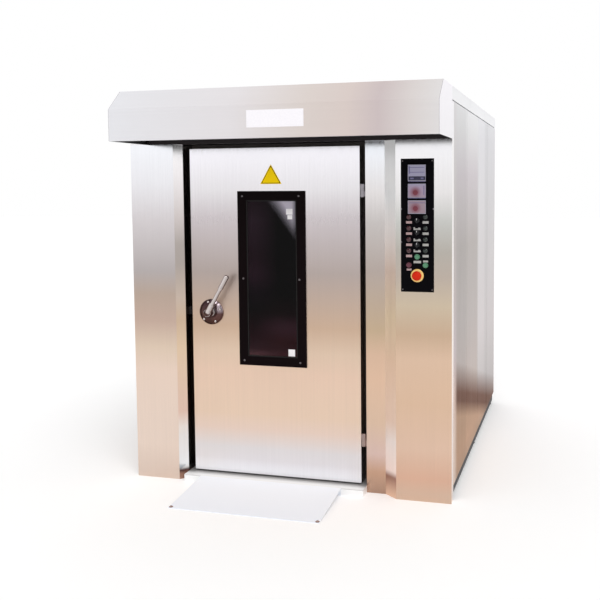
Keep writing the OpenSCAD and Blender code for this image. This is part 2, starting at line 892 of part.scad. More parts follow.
module roof_panels() {
    pitch = body_d / roof_count;
    ledge = roof_ledge;
    wall = rail_wall;
    z0 = body_h - roof_t;
    inset = ledge + wall;
    color("gainsboro") {
        for (i = [0 : roof_count - 1]) {
            y0 = i * pitch + (i == 0 ? 0 : joint_gap / 2);
            y1 = (i + 1) * pitch - (i == roof_count - 1 ? 0 : joint_gap / 2);
            difference() {
                union() {
                    box([-wall_x, y0, z0], [wall_x, y1, body_h]);
                    box([-wall_x + ledge, y0 + ledge, wall_top], [wall_x - ledge, y1 - ledge, z0 + weld]);
                }
                box([-wall_x + wall, y0 + wall, z0 + wall], [wall_x - wall, y1 - wall, body_h - sheet_t]);
                box([-wall_x + inset, y0 + inset, wall_top - 1], [wall_x - inset, y1 - inset, z0 + wall + 1]);
                rod_z([hood_duct_x, hood_collar_y, wall_top - 1], hood_collar_r + tube_t + clear, 2 * roof_t);
                rod_z([flue_x, flue_y, wall_top - 1], flue_r + tube_t + clear, 2 * roof_t);
            }
        }
    }
}

// ---------------------------------------------------------------- baking chamber

module chamber_side_walls() {
    z0 = floor_level;
    slot_z0 = z0 + slot_margin;
    slot_z1 = chamber_top - slot_margin;
    pitch = (chamber_d - 2 * slot_inset) / (slot_count - 1);
    color("lightgray") {
        for (x = [chamber_x0 - chamber_t, chamber_x1]) {
            difference() {
                box([x, chamber_y0, z0], [x + chamber_t, heater_y0, chamber_top]);
                for (i = [0 : slot_count - 1]) {
                    y = chamber_y0 + slot_inset + i * pitch;
                    box([x - 1, y - slot_w / 2, slot_z0], [x + chamber_t + 1, y + slot_w / 2, slot_z1]);
                }
            }
        }
    }
}

module chamber_rear_wall() {
    ring_r = impeller_r - 60;
    color("lightgray") difference() {
        box([chamber_x0, chamber_y1, floor_level], [chamber_x1, heater_y0, chamber_top]);
        for (ring = [0 : 2]) {
            for (i = [0 : 11]) {
                a = i * 30 + ring * 15;
                r = ring_r * (0.3 + 0.28 * ring);
                rod_y([door_mid + r * cos(a), chamber_y1 - 1, fan_z + r * sin(a)], 12 + 4 * ring, chamber_t + 2);
            }
        }
    }
}

module chamber_ceiling() {
    color("lightgray") difference() {
        box([duct_x0, chamber_y0, chamber_top], [duct_x1, heater_y1, lid_z]);
        rod_z([door_mid, table_y, chamber_top - 1], shaft_r + 15, chamber_t + 2);
        rod_z([flue_x, flue_y, chamber_top - 1], flue_r + tube_t + clear, chamber_t + 2);
    }
}

module insulation() {
    z0 = floor_level;
    pipe_hole_r = steam_pipe_r + 2;
    color("khaki") {
        box([-core_x, frame_y, z0], [chamber_x0 - clear, chamber_y0 - clear, chamber_top]);
        box([chamber_x1 + clear, frame_y, z0], [bay_x0, chamber_y0 - clear, chamber_top]);
        box([-core_x, chamber_y0, z0], [duct_x0 - clear, bay_y0, void_z]);
        difference() {
            box([duct_x1 + clear, chamber_y0, z0], [bay_x0, bay_y0, void_z]);
            rod_x([duct_x1 - 1, cascade_y, steam_pipe_z], pipe_hole_r, insulation_t + 10);
        }
        difference() {
            box([duct_x0, heater_y1 + clear, z0], [duct_x1, bay_y0, void_z]);
            rod_y([door_mid, heater_y1, fan_z], fan_shaft_r + 10, insulation_t + 10);
        }
        difference() {
            box([duct_x0, chamber_y0, lid_z], [duct_x1, heater_y1, void_z]);
            rod_z([door_mid, table_y, lid_z - 1], shaft_r + 15, top_insulation_t + 2);
            rod_z([flue_x, flue_y, lid_z - 1], flue_r + tube_t + clear, top_insulation_t + 2);
        }
    }
}

module oven_lamp() {
    x = chamber_x0;
    y = chamber_y0 + 1.5 * lamp_w / 2;
    z1 = chamber_top - oven_lamp_drop;
    z0 = z1 - lamp_l;
    base_t = 6;
    color("white") {
        box([x, y - lamp_w / 2, z0 - 20], [x + base_t, y + lamp_w / 2, z1 + 20]);
        difference() {
            rod_z([x + base_t, y, z0], 0.35 * lamp_w, z1 - z0);
            box([x - lamp_w, y - lamp_w, z0 - 1], [x + base_t - weld, y + lamp_w, z1 + 1]);
        }
    }
}

// ---------------------------------------------------------------- air, heat and steam

module fan_inlet() {
    throat = fan_eye_r - 7;
    mouth = impeller_r - 15;
    wall = 3;
    flange = 30;
    depth = fan_back_y - impeller_w - heater_y0;
    color("silver") translate([door_mid, heater_y0, fan_z]) rotate([-90, 0, 0])
        rotate_extrude() polygon([
            [throat, depth],
            [throat + wall, depth],
            [mouth + wall, wall + 1],
            [mouth + flange, wall + 1],
            [mouth + flange, 0],
            [mouth, 0]
        ]);
}

module fan_impeller() {
    front_y = fan_back_y - impeller_w;
    disc_t = 3;
    blade_l = impeller_r - fan_eye_r + 5;
    blade_t = 4;
    blade_lean = 35;
    hub_l = 40;
    color("silver") {
        difference() {
            rod_y([door_mid, front_y, fan_z], impeller_r, disc_t);
            rod_y([door_mid, front_y - 1, fan_z], fan_eye_r, disc_t + 2);
        }
        rod_y([door_mid, fan_back_y, fan_z], impeller_r, disc_t);
        for (i = [0 : blade_count - 1]) {
            translate([door_mid, front_y + 1, fan_z]) rotate([0, i * 360 / blade_count, 0])
                translate([fan_eye_r - 5, 0, 0]) rotate([0, blade_lean, 0])
                    translate([0, 0, -blade_t / 2]) cube([blade_l, impeller_w, blade_t]);
        }
        rod_y([door_mid, fan_back_y - hub_l, fan_z], 2 * fan_shaft_r, hub_l + weld);
        rod_y([door_mid, fan_back_y, fan_z], fan_shaft_r, bay_y0 + fan_shaft_seat - fan_back_y);
    }
}

module fan_motor() {
    flange_t = 10;
    r = fan_motor_r;
    y0 = bay_y0;
    fins = 12;
    fin_t = 4;
    fin_h = 13;
    box_w = r + 5;
    color("steelblue") difference() {
        union() {
            rod_y([door_mid, y0, fan_z], 1.4 * r, flange_t);
            rod_y([door_mid, y0 + flange_t - weld, fan_z], r, fan_motor_l);
            for (i = [0 : fins - 1]) {
                translate([door_mid, y0 + 30, fan_z]) rotate([0, i * 360 / fins, 0])
                    translate([r - 3, 0, -fin_t / 2]) cube([fin_h, fan_motor_l - 60, fin_t]);
            }
            box([door_mid - box_w / 2, y0 + 50, fan_z + r - 10],
                [door_mid + box_w / 2, y0 + 50 + box_w, fan_z + 1.5 * r]);
        }
        rod_y([door_mid, y0 - 1, fan_z], fan_shaft_r + fit_gap, fan_shaft_seat + 20);
    }
}

module heater_bank() {
    top_z = chamber_top - heater_drop;
    rail_z = floor_level + loop_rail_h;
    x0 = duct_x0 + bank_inset;
    y = heater_y0 + heater_d / 2 - 20;
    edge = 20;
    color("dimgray") {
        box([x0 - edge, y - loop_w / 2 - edge, floor_level],
            [x0 + (loop_count - 1) * loop_pitch + edge, y + loop_w / 2 + edge, rail_z]);
        for (i = [0 : loop_count - 1]) {
            x = x0 + i * loop_pitch;
            for (side = [-1, 1]) {
                rod_z([x, y + side * loop_w / 2, rail_z - weld], loop_r, top_z - rail_z + weld);
            }
            translate([x, y, top_z]) rotate([90, 0, 90])
                rotate_extrude(angle = 180) translate([loop_w / 2, 0]) circle(r = loop_r, $fn = 24);
        }
    }
}

module steam_cascade() {
    x1 = duct_x1 - bank_inset;
    x0 = x1 - cascade_w;
    y = cascade_y;
    post_t = 6;
    post_w = 2.7 * bar_t;
    first_z = floor_level + 4 * bar_t;
    pitch = (cascade_top - first_z - 6 * bar_t) / (cascade_bars - 1);
    pipe_end = bay_x0 + 40;
    color("saddlebrown") {
        for (x = [x0 - post_t, x1]) {
            box([x, y - post_w / 2, floor_level], [x + post_t, y + post_w / 2, cascade_top]);
        }
        for (i = [0 : cascade_bars - 1]) {
            z = first_z + i * pitch;
            for (side = [-1, 1]) {
                mid = y + side * 2 * bar_t / 3;
                box([x0 - weld, mid - bar_t / 2, z], [x1 + weld, mid + bar_t / 2, z + bar_t]);
            }
        }
    }
    color("silver") {
        difference() {
            rod_x([x0 - post_t, y, steam_pipe_z], steam_pipe_r, pipe_end - x0 + post_t);
            for (i = [0 : 4]) {
                rod_z([x0 + (i + 0.5) * cascade_w / 5, y, cascade_top - 1], spray_r, steam_pipe_r);
            }
        }
        box([pipe_end - weld, y - valve_w / 2, cascade_top - 20],
            [pipe_end + valve_w, y + valve_w / 2, cascade_top + valve_w]);
    }
}

// An upright exhaust pipe with a flange at its foot and a wider collar above the roof
module exhaust_pipe(x, y, r, z0) {
    outer = r + tube_t;
    difference() {
        union() {
            rod_z([x, y, z0], outer, body_h + collar_h - z0);
            rod_z([x, y, z0], outer + pipe_flange_w, pipe_flange_t);
            rod_z([x, y, body_h + collar_lift], outer + collar_step, collar_h - collar_lift);
        }
        rod_z([x, y, z0 - 1], r, body_h + collar_h);
    }
}

module exhaust_ducts() {
    x0 = hood_duct_x - hood_duct_w / 2 + clear;
    x1 = hood_duct_x + hood_duct_w / 2 - clear;
    z0 = hood_duct_z + clear;
    z1 = hood_duct_z + hood_duct_h - clear;
    block_x0 = flue_x + flue_r + tube_t + 6;
    block_w = 70;
    block_t = 7;
    color("silver") {
        difference() {
            box([x0, 0, z0], [x1, hood_duct_y1, z1 - tube_t - clear]);
            box([x0 + tube_t, -1, z0 + tube_t], [x1 - tube_t, hood_duct_y1 - tube_t, z1]);
        }
        difference() {
            box([x0, 0, z1 - tube_t], [x1, hood_duct_y1, z1]);
            rod_z([hood_duct_x, hood_collar_y, z1 - 2 * tube_t], hood_collar_r, 3 * tube_t);
        }
        exhaust_pipe(hood_duct_x, hood_collar_y, hood_collar_r, z1 + clear);
        difference() {
            exhaust_pipe(flue_x, flue_y, flue_r, chamber_top - pipe_flange_t);
            rod_x([flue_x - flue_r - 20, flue_y, flap_z], flap_pin_r + fit_gap, 2 * flue_r + 40);
        }
        difference() {
            box([block_x0, flue_y - block_w / 2, void_z],
                [block_x0 + block_t, flue_y + block_w / 2, flap_z + 30]);
            rod_x([flue_x, flue_y, flap_z], flap_pin_r + fit_gap, flue_r + 60);
        }
    }
}

module damper_flap() {
    end_gap = 1.5;
    color("gray") {
        rod_z([flue_x, flue_y, flap_z - 1.5], flue_r - end_gap, 3);
        rod_x([flue_x - flue_r - tube_t - 8, flue_y, flap_z], flap_pin_r, 2 * flue_r + 2 * tube_t + 46);
    }
}

// ---------------------------------------------------------------- drive

// Half angle of a tooth at a distance from the pitch circle, in gear modules
function tooth_half(teeth, depth) = (0.70 - (depth > 0 ? 0.364 : 0.20) * depth) / (teeth / 2 + depth) * 180 / PI;
function tooth_ring(teeth, m, phase) = [
    for (i = [0 : teeth - 1])
        for (corner = [[-1.25, -1], [0, -1], [1, -1], [1, 1], [0, 1], [-1.25, 1]])
            let (a = phase + i * 360 / teeth + corner[1] * tooth_half(teeth, corner[0]), r = m * (teeth / 2 + corner[0]))
                [r * cos(a), r * sin(a)]
];

module spur_gear(teeth, m, t, phase) {
    linear_extrude(t) polygon(tooth_ring(teeth, m, phase));
}

module turntable() {
    stop_y = guide_l / 2 - 20;
    color("lightgray") {
        rod_z([door_mid, table_y, table_z], table_r, table_t);
        rod_z([door_mid, table_y, floor_level + clear], bush_neck_r, table_lift + weld);
        rod_z([door_mid, table_y, bush_floor + 2], pivot_r, table_top - bush_floor - 2);
        for (side = [-1, 1]) {
            x = door_mid + side * guide_spread / 2 - guide_t / 2;
            y = table_y - guide_l / 2;
            box([x, y, table_top - weld], [x + guide_t, y + guide_l, table_top + guide_h]);
        }
        box([door_mid - stop_w / 2, table_y + stop_y, table_top - weld],
            [door_mid + stop_w / 2, table_y + stop_y + guide_t, table_top + stop_h]);
    }
}

module rack_carrier() {
    flange_t = 5;
    color("silver") {
        for (side = [-1, 1]) {
            x = door_mid + side * carrier_w / 2;
            rod_z([x, table_y, table_top], upright_d / 2, carrier_z0 - table_top + weld);
            rod_z([x, table_y, table_top], upright_d, flange_t);
        }
        difference() {
            box([door_mid - (carrier_w + upright_d) / 2, table_y - carrier_bar / 2, carrier_z0],
                [door_mid + (carrier_w + upright_d) / 2, table_y + carrier_bar / 2, carrier_z1]);
            rod_z([door_mid, table_y, shaft_z0], shaft_r, carrier_bar);
        }
    }
}

module main_shaft() {
    holes = 6;
    pitch_r = gear_module * gear_teeth / 2;
    color("gray") {
        rod_z([door_mid, table_y, shaft_z0], shaft_r, gear_z + gear_t + 10 - shaft_z0);
        difference() {
            translate([door_mid, table_y, gear_z]) spur_gear(gear_teeth, gear_module, gear_t, 180 / gear_teeth);
            for (i = [0 : holes - 1]) {
                a = i * 360 / holes;
                x = door_mid + 0.6 * pitch_r * cos(a);
                y = table_y + 0.6 * pitch_r * sin(a);
                rod_z([x, y, gear_z - 1], 0.16 * pitch_r, gear_t + 2);
            }
        }
    }
}

module top_bearing() {
    housing_r = shaft_r + 26;
    z0 = void_z;
    color("darkslategray") difference() {
        union() {
            box([door_mid - bearing_plate / 2, table_y - bearing_plate / 2, z0],
                [door_mid + bearing_plate / 2, table_y + bearing_plate / 2, z0 + drive_plate_t]);
            rod_z([door_mid, table_y, z0 + drive_plate_t - weld], housing_r, bearing_h);
        }
        rod_z([door_mid, table_y, z0 - 1], shaft_r + fit_gap, 2 * bearing_h);
    }
}

module drive_pinion() {
    color("gray") {
        translate([pinion_x, table_y, gear_z]) spur_gear(pinion_teeth, gear_module, gear_t, 180);
        rod_z([pinion_x, table_y, gear_z - pinion_seat], pinion_shaft_r, pinion_seat + gear_t + 6);
    }
}

module gearmotor() {
    z0 = void_z;
    block_h = 95;
    block_x = pinion_x + gear_module * (pinion_teeth / 2 + 1) + 25;
    block_l = 80;
    foot_l = 80;
    color("steelblue") difference() {
        union() {
            box([pinion_x - gearbox_w / 2, table_y - gearbox_w / 2, z0],
                [block_x + 10, table_y + gearbox_w / 2, gear_z - 8]);
            box([block_x, table_y - gearbox_w / 2 - 5, z0],
                [block_x + block_l, table_y + gearbox_w / 2 + 5, z0 + block_h]);
            rod_x([block_x + block_l - weld, table_y, z0 + motor_r + 4], motor_r, motor_l);
            box([block_x + block_l + 30, table_y - 25, z0], [block_x + block_l + 30 + foot_l, table_y + 25, z0 + 20]);
        }
        rod_z([pinion_x, table_y, gear_z - pinion_seat - 2], pinion_shaft_r + fit_gap, pinion_seat + 10);
    }
}

// ---------------------------------------------------------------- electrics and controls

module electric_panel() {
    x = bay_x0;
    y0 = chamber_y0 + board_inset;
    z1 = chamber_top - board_drop;
    z0 = z1 - board_h;
    row_pitch = 0.3 * board_h;
    unit_pitch = (board_w - 2 * rail_margin) / board_units;
    color("orange") {
        box([x, y0, z0], [x + board_t, y0 + board_w, z1]);
        for (row = [0 : 2]) {
            z = z1 - unit_h - 2 * board_t - row * row_pitch;
            box([x + board_t - weld, y0 + rail_margin, z - rail_h / 2],
                [x + board_t + 7, y0 + board_w - rail_margin, z + rail_h / 2]);
            for (i = [0 : board_units - 1]) {
                y = y0 + rail_margin + 7 + i * unit_pitch;
                box([x + board_t + 6, y, z - unit_h / 2], [x + unit_d, y + unit_pitch - 14, z + unit_h / 2]);
            }
        }
    }
}

module control_plate() {
    color("black") difference() {
        union() {
            box([plate_x0, -plate_t, plate_bottom], [plate_x0 + plate_w, 0, plate_top]);
            for (column = [-1, 1]) {
                for (row = [0 : lamp_rows - 1]) {
                    bezel(plate_x + column * column_pitch, lamp_top_z - row * lamp_pitch);
                }
                bezel(plate_x + column * column_pitch, side_button_z);
            }
            for (row = [0 : 2]) {
                bezel(plate_x, selector_top_z - row * selector_pitch);
            }
            bezel(plate_x, start_z);
            rod_y([plate_x, -plate_t - bezel_t, estop_z], stop_boss_r, bezel_t + weld);
        }
        control_holes(20);
    }
}

module bezel(x, z) {
    rod_y([x, -plate_t - bezel_t, z], bezel_r, bezel_t + weld);
}

// Z of the top edge of a screen, counted from the top
function screen_z(i) = i == 0 ? screen_top : screen_z(i - 1) - screen_heights[i - 1] - screen_gap;

module display_module() {
    color("lavender") {
        for (i = [0 : 2]) {
            box([screen_x - screen_w / 2, -plate_t - screen_t, screen_z(i) - screen_heights[i]],
                [screen_x + screen_w / 2, -plate_t, screen_z(i)]);
        }
        rod_y([screen_x, -plate_t - weld, screen_pin_z], control_r - clear, 30);
    }
}

module signal_lamps() {
    face = -plate_t - bezel_t;
    color("firebrick") {
        for (column = [-1, 1]) {
            for (row = [0 : lamp_rows - 1]) {
                x = plate_x + column * column_pitch;
                z = lamp_top_z - row * lamp_pitch;
                rod_y([x, face, z], control_r - 0.2, 30);
                rod_y([x, face - 3, z], control_r + 1, 3);
                translate([x, face - 3, z]) rotate([90, 0, 0]) cylinder(r1 = control_r, r2 = control_r - 5, h = 4, $fn = 48);
            }
        }
    }
}

// A push button whose cap stands out of its bezel by more than its travel
module push_button(x, z) {
    face = -plate_t - bezel_t;
    stand = button_travel + 3;
    rod_y([x, face - stand, z], control_r - control_gap, stand + bezel_t + plate_t + 14);
}

module start_button() {
    color("seagreen") push_button(plate_x, start_z);
}

module stop_button() {
    color("firebrick") push_button(plate_x - column_pitch, side_button_z);
}

module light_button() {
    color("seagreen") push_button(plate_x + column_pitch, side_button_z);
}

// A rotary switch with a grip bar
module selector(z) {
    face = -plate_t - bezel_t;
    bar_l = 2 * control_r + 4;
    rod_y([plate_x, face - 5, z], control_r - control_gap, 5 + bezel_t + plate_t + 14);
    rod_y([plate_x, face - 5, z], control_r + 1.5, 4.5);
    box([plate_x - 3.5, face - 17, z - bar_l / 2], [plate_x + 3.5, face - 5 + weld, z + bar_l / 2]);
}

module selector_top() {
    color("dimgray") selector(selector_top_z);
}

module selector_middle() {
    color("dimgray") selector(selector_top_z - selector_pitch);
}

module selector_bottom() {
    color("dimgray") selector(selector_top_z - 2 * selector_pitch);
}

stop_face = -plate_t - bezel_t;
stop_neck = stop_travel + 6;

module estop_stem() {
    color("gray") rod_y([plate_x, stop_face - stop_neck, estop_z], control_r - control_gap, stop_neck + bezel_t + plate_t + 18);
}

module estop_head() {
    dome = 8;
    rim = 10;
    color("red") translate([plate_x, stop_face - stop_neck - 0.3, estop_z]) rotate([90, 0, 0]) union() {
        cylinder(r = stop_head_r, h = rim);
        translate([0, 0, rim - 0.01]) cylinder(r1 = stop_head_r, r2 = stop_head_r - dome, h = dome, $fn = 96);
    }
}

// ---------------------------------------------------------------- door

module door_skin() {
    y1 = door_recess + door_t - sheet_t - clear;
    color("silver") difference() {
        box([door_x0, door_recess, door_bottom], [door_x1, y1, door_top]);
        box([door_x0 + sheet_t, door_recess + sheet_t, door_bottom + sheet_t],
            [door_x1 - sheet_t, y1 + 1, door_top - sheet_t]);
        box([window_x - tunnel_w / 2, door_recess - 1, window_z - tunnel_h / 2],
            [window_x + tunnel_w / 2, door_recess + 10, window_z + tunnel_h / 2]);
        rod_y([lever_x, door_recess - 1, lever_z], spindle_r + 4, 10);
        box([door_x0 - 1, bolt_y - bolt_size / 2 - 1, lever_z - bolt_size / 2 - 1],
            [door_x0 + 10, bolt_y + bolt_size / 2 + 1, lever_z + bolt_size / 2 + 1]);
    }
}

module door_liner() {
    y1 = door_recess + door_t;
    color("lightgray") difference() {
        box([door_x0, y1 - sheet_t, door_bottom], [door_x1, y1, door_top]);
        box([window_x - tunnel_w / 2, y1 - 10, window_z - tunnel_h / 2],
            [window_x + tunnel_w / 2, y1 + 1, window_z + tunnel_h / 2]);
    }
}

module door_core() {
    y0 = door_recess + sheet_t;
    y1 = door_recess + door_t - sheet_t;
    x0 = door_x0 + sheet_t + clear;
    x1 = door_x1 - sheet_t - clear;
    z0 = door_bottom + sheet_t;
    z1 = door_top - sheet_t - clear;
    wx0 = window_x - tunnel_w / 2 - 1;
    wx1 = window_x + tunnel_w / 2 + 1;
    wz0 = window_z - tunnel_h / 2 - 1;
    wz1 = window_z + tunnel_h / 2 + 1;
    cx1 = door_x0 + sheet_t + case_w + 1;
    color("khaki") {
        box([x0, y0, z0], [x1, y1, wz0]);
        box([x0, y0, wz1], [x1, y1, z1]);
        box([wx1, y0, wz0 + clear], [x1, y1, wz1 - clear]);
        box([cx1, y0, wz0 + clear], [wx0, y1, wz1 - clear]);
        box([x0, y0, wz0 + clear], [cx1 - clear, y1, lever_z - case_h / 2 - 1]);
        box([x0, y0, lever_z + case_h / 2 + 1], [cx1 - clear, y1, wz1 - clear]);
    }
}

module window_frame() {
    y0 = door_recess - window_frame_t;
    y1 = door_recess + door_t;
    spacer_t = 8;
    color("black") {
        difference() {
            box([window_x - window_w / 2, y0, window_z - window_h / 2],
                [window_x + window_w / 2, door_recess, window_z + window_h / 2]);
            box([window_x - light_w / 2, y0 - 1, window_z - light_h / 2],
                [window_x + light_w / 2, door_recess + 1, window_z + light_h / 2]);
        }
        difference() {
            box([window_x - window_w / 2, y1, window_z - window_h / 2],
                [window_x + window_w / 2, y1 + 4, window_z + window_h / 2]);
            box([window_x - light_w / 2, y1 - 1, window_z - light_h / 2],
                [window_x + light_w / 2, y1 + 5, window_z + light_h / 2]);
        }
        difference() {
            box([window_x - pane_w / 2, door_recess + pane_t, window_z - pane_h / 2],
                [window_x + pane_w / 2, y1 - pane_t, window_z + pane_h / 2]);
            box([window_x - pane_w / 2 + spacer_t, door_recess, window_z - pane_h / 2 + spacer_t],
                [window_x + pane_w / 2 - spacer_t, y1, window_z + pane_h / 2 - spacer_t]);
        }
    }
}

module window_glass() {
    y1 = door_recess + door_t;
    color([0.2, 0.2, 0.25, 0.5]) {
        for (y = [door_recess, y1 - pane_t]) {
            box([window_x - pane_w / 2, y, window_z - pane_h / 2], [window_x + pane_w / 2, y + pane_t, window_z + pane_h / 2]);
        }
    }
}

module door_gasket() {
    y0 = door_recess + door_t;
    y1 = frame_y - clear;
    w = gasket_w;
    inset = gasket_inset;
    brush_y = door_recess + brush_setback;
    brush_t = 6;
    color("black") {
        box([door_x0 + inset, y0, door_bottom + 10], [door_x0 + inset + w, y1, door_top - inset]);
        box([door_x1 - inset - w, y0, door_bottom + 10], [door_x1 - inset, y1, door_top - inset]);
        box([door_x0 + inset + w + clear, y0, door_top - inset - w],
            [door_x1 - inset - w - clear, y1, door_top - inset]);
        box([door_x0 + brush_inset, brush_y, floor_level + 0.5], [door_x1 - brush_inset, brush_y + brush_t, door_bottom]);
    }
}

module handle_rosette() {
    lip = 6;
    r = rosette_r;
    color("gray") translate([lever_x, door_recess, lever_z]) rotate([90, 0, 0]) rotate_extrude() polygon([
        [spindle_r + 1, 0],
        [r, 0],
        [r, lip],
        [r - 5, lip + 8],
        [r - 22, rosette_t],
        [hub_r + 14, rosette_t],
        [hub_r + 4, rosette_t - 6],
        [spindle_r + 1, rosette_t - 6]
    ]);
}

module lock_case() {
    x0 = door_x0 + sheet_t;
    y0 = bolt_y - lock_case_t / 2;
    y1 = bolt_y + lock_case_t / 2;
    b = bolt_size / 2 + 0.5;
    back = door_recess + door_t - sheet_t;
    color("slategray") difference() {
        union() {
            box([x0, y0, lever_z - case_h / 2], [x0 + case_w, y1, lever_z + case_h / 2]);
            box([x0 + 10, y1 - weld, lever_z - 20], [x0 + case_w - 10, back, lever_z + 20]);
        }
        box([x0 - 1, bolt_y - b, lever_z - b], [lever_x + 18, bolt_y + b, lever_z + b]);
        rod_y([lever_x, y0 - 1, lever_z], spindle_r + fit_gap, lock_case_t - 8);
        rod_y([lever_x, bolt_y - 8, lever_z], 22, 16);
    }
}

module latch_bolt() {
    b = bolt_size / 2;
    color("silver") box([door_x0 + 1, bolt_y - b, lever_z - b], [lever_x - spindle_r - 16, bolt_y + b, lever_z + b]);
}

module strike() {
    b = bolt_size / 2 + 4;
    x0 = post_in_x;
    arm = strike_arm;
    color("slategray") difference() {
        box([x0, bolt_y - arm, lever_z - arm], [x0 + strike_t, bolt_y + arm, lever_z + arm]);
        box([door_x0 - bolt_travel - 1, bolt_y - b, lever_z - b], [x0 + strike_t + 1, bolt_y + b, lever_z + b]);
    }
}

module handle_lever() {
    back_y = door_recess - rosette_t + 6 - clear;
    tip_y = bolt_y + 6;
    color("silver") {
        rod_y([lever_x, lever_y - 8, lever_z], hub_r, back_y - lever_y + 8);
        rod_y([lever_x, back_y - weld, lever_z], spindle_r, tip_y - back_y + weld);
        translate([lever_x, lever_y, lever_z]) rotate([0, lever_lean, 0]) {
            cylinder(r = arm_r, h = lever_l - grip_l + weld);
            translate([0, 0, lever_l - grip_l]) cylinder(r = grip_r, h = grip_l - grip_r);
            translate([0, 0, lever_l - grip_r]) sphere(r = grip_r);
        }
    }
}

hinge_x = door_x1 + hinge_gap / 2 - 0.5;
hinge_zs = [low_hinge_z, high_hinge_z];
lug_t = 10;

module hinge_pins() {
    color("gray") {
        for (z = hinge_zs) {
            rod_z([hinge_x, door_recess, z - barrel_l], barrel_r, barrel_l);
            rod_z([hinge_x, door_recess, z - weld], hinge_pin_r, barrel_l + weld - 4);
            difference() {
                box([hinge_x + 2, door_recess - 2, z - barrel_l + 4], [jamb_x0, door_recess - 2 + lug_t, z - 4]);
                rod_z([hinge_x, door_recess, z - barrel_l], hinge_pin_r, barrel_l);
            }
        }
    }
}

module door_barrels() {
    color("gray") {
        for (z = hinge_zs) {
            difference() {
                union() {
                    rod_z([hinge_x, door_recess, z + clear], barrel_r, barrel_l);
                    box([door_x1, door_recess - 2, z + 5], [hinge_x - 2, door_recess - 2 + lug_t, z + barrel_l - 4]);
                }
                rod_z([hinge_x, door_recess, z - 1], hinge_pin_r + fit_gap, barrel_l - 2);
            }
        }
    }
}

base_frame();
levelling_feet();
floor_pan();
left_post();
right_post();
hinge_jamb();
door_frame();
front_header();
hood_front();
hood_ends();
hood_filters();
sign_plate();
roof_panels();
side_panels();
rear_panels();
chamber_side_walls();
chamber_rear_wall();
chamber_ceiling();
insulation();
oven_lamp();
steam_cascade();
heater_bank();
fan_inlet();
fan_motor();
exhaust_ducts();
gearmotor();
top_bearing();
pivot_bush();
electric_panel();
control_plate();
display_module();
signal_lamps();
hinge_pins();
strike();
ramp();
door_skin();
door_liner();
door_core();
window_frame();
window_glass();
door_gasket();
handle_rosette();
lock_case();
door_barrels();
handle_lever();
latch_bolt();
turntable();
rack_carrier();
main_shaft();
drive_pinion();
fan_impeller();
damper_flap();
selector_top();
selector_middle();
selector_bottom();
start_button();
stop_button();
light_button();
estop_stem();
estop_head();
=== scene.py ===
"""Looks of a rotating rack oven: brushed stainless front, dark window, chrome lever, controls and ramp."""
import math

import bmesh
import bpy
from mathutils import Matrix, Vector


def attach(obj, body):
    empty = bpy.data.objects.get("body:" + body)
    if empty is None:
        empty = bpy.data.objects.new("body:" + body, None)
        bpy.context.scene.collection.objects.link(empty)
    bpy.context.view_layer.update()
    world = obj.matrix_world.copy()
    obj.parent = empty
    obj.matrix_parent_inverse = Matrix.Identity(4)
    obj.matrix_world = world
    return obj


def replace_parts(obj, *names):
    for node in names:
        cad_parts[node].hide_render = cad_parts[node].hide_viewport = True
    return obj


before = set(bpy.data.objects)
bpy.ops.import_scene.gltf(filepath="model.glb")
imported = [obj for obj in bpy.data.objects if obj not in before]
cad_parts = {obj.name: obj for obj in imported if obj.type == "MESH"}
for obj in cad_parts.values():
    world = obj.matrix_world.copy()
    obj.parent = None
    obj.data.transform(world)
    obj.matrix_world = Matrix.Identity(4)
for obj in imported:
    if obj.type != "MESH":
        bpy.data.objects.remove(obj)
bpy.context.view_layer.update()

MM = 0.001
SENSOR = 36.0
PHOTO_PX = 600


def at(x, y, z):
    """A place in the oven's frame, given in millimetres."""
    return Vector((x, y, z)) * MM


# ---- camera, light and floor

def set_camera():
    """Stands the camera at the photograph's viewpoint, found from the oven's corners."""
    focal_px, centre_x, centre_y = 837.7, 355.02, 247.02
    yaw, pitch, roll = (math.radians(turn) for turn in (15.125, -4.036, -0.359))
    stand = at(1571, -4322, 1679)
    forward = Vector((-math.sin(yaw) * math.cos(pitch), math.cos(yaw) * math.cos(pitch), math.sin(pitch)))
    level = Vector((math.cos(yaw), math.sin(yaw), 0))
    upward = level.cross(forward)
    right = math.cos(roll) * level + math.sin(roll) * upward
    up = -math.sin(roll) * level + math.cos(roll) * upward
    data = bpy.data.cameras.new("camera")
    data.sensor_fit = "HORIZONTAL"
    data.sensor_width = SENSOR
    data.lens = focal_px * SENSOR / PHOTO_PX
    data.shift_x = (PHOTO_PX / 2 - centre_x) / PHOTO_PX
    data.shift_y = (centre_y - PHOTO_PX / 2) / PHOTO_PX
    data.clip_start, data.clip_end = 0.05, 200
    camera = bpy.data.objects.new("camera", data)
    turn = Matrix((right, up, -forward)).transposed().to_4x4()
    camera.matrix_world = Matrix.Translation(stand) @ turn
    bpy.context.collection.objects.link(camera)
    bpy.context.scene.camera = camera


def srgb(code):
    """An sRGB hex colour as linear RGBA."""
    parts = [int(code[i:i + 2], 16) / 255 for i in (1, 3, 5)]
    return [p / 12.92 if p <= 0.04045 else ((p + 0.055) / 1.055) ** 2.4 for p in parts] + [1.0]


def wire(node, **given):
    """Gives a node its settings and inputs. A value is a number, a hex colour, a node or an output."""
    for word, value in given.items():
        if hasattr(node, word):
            setattr(node, word, value)
            continue
        socket = node.inputs[int(word[1:]) if word[1:].isdigit() else word.replace("_", " ")]
        if isinstance(value, bpy.types.Node):
            value = value.outputs[0]
        if isinstance(value, bpy.types.NodeSocket):
            node.id_data.links.new(value, socket)
        else:
            socket.default_value = srgb(value) if isinstance(value, str) else value
    return node


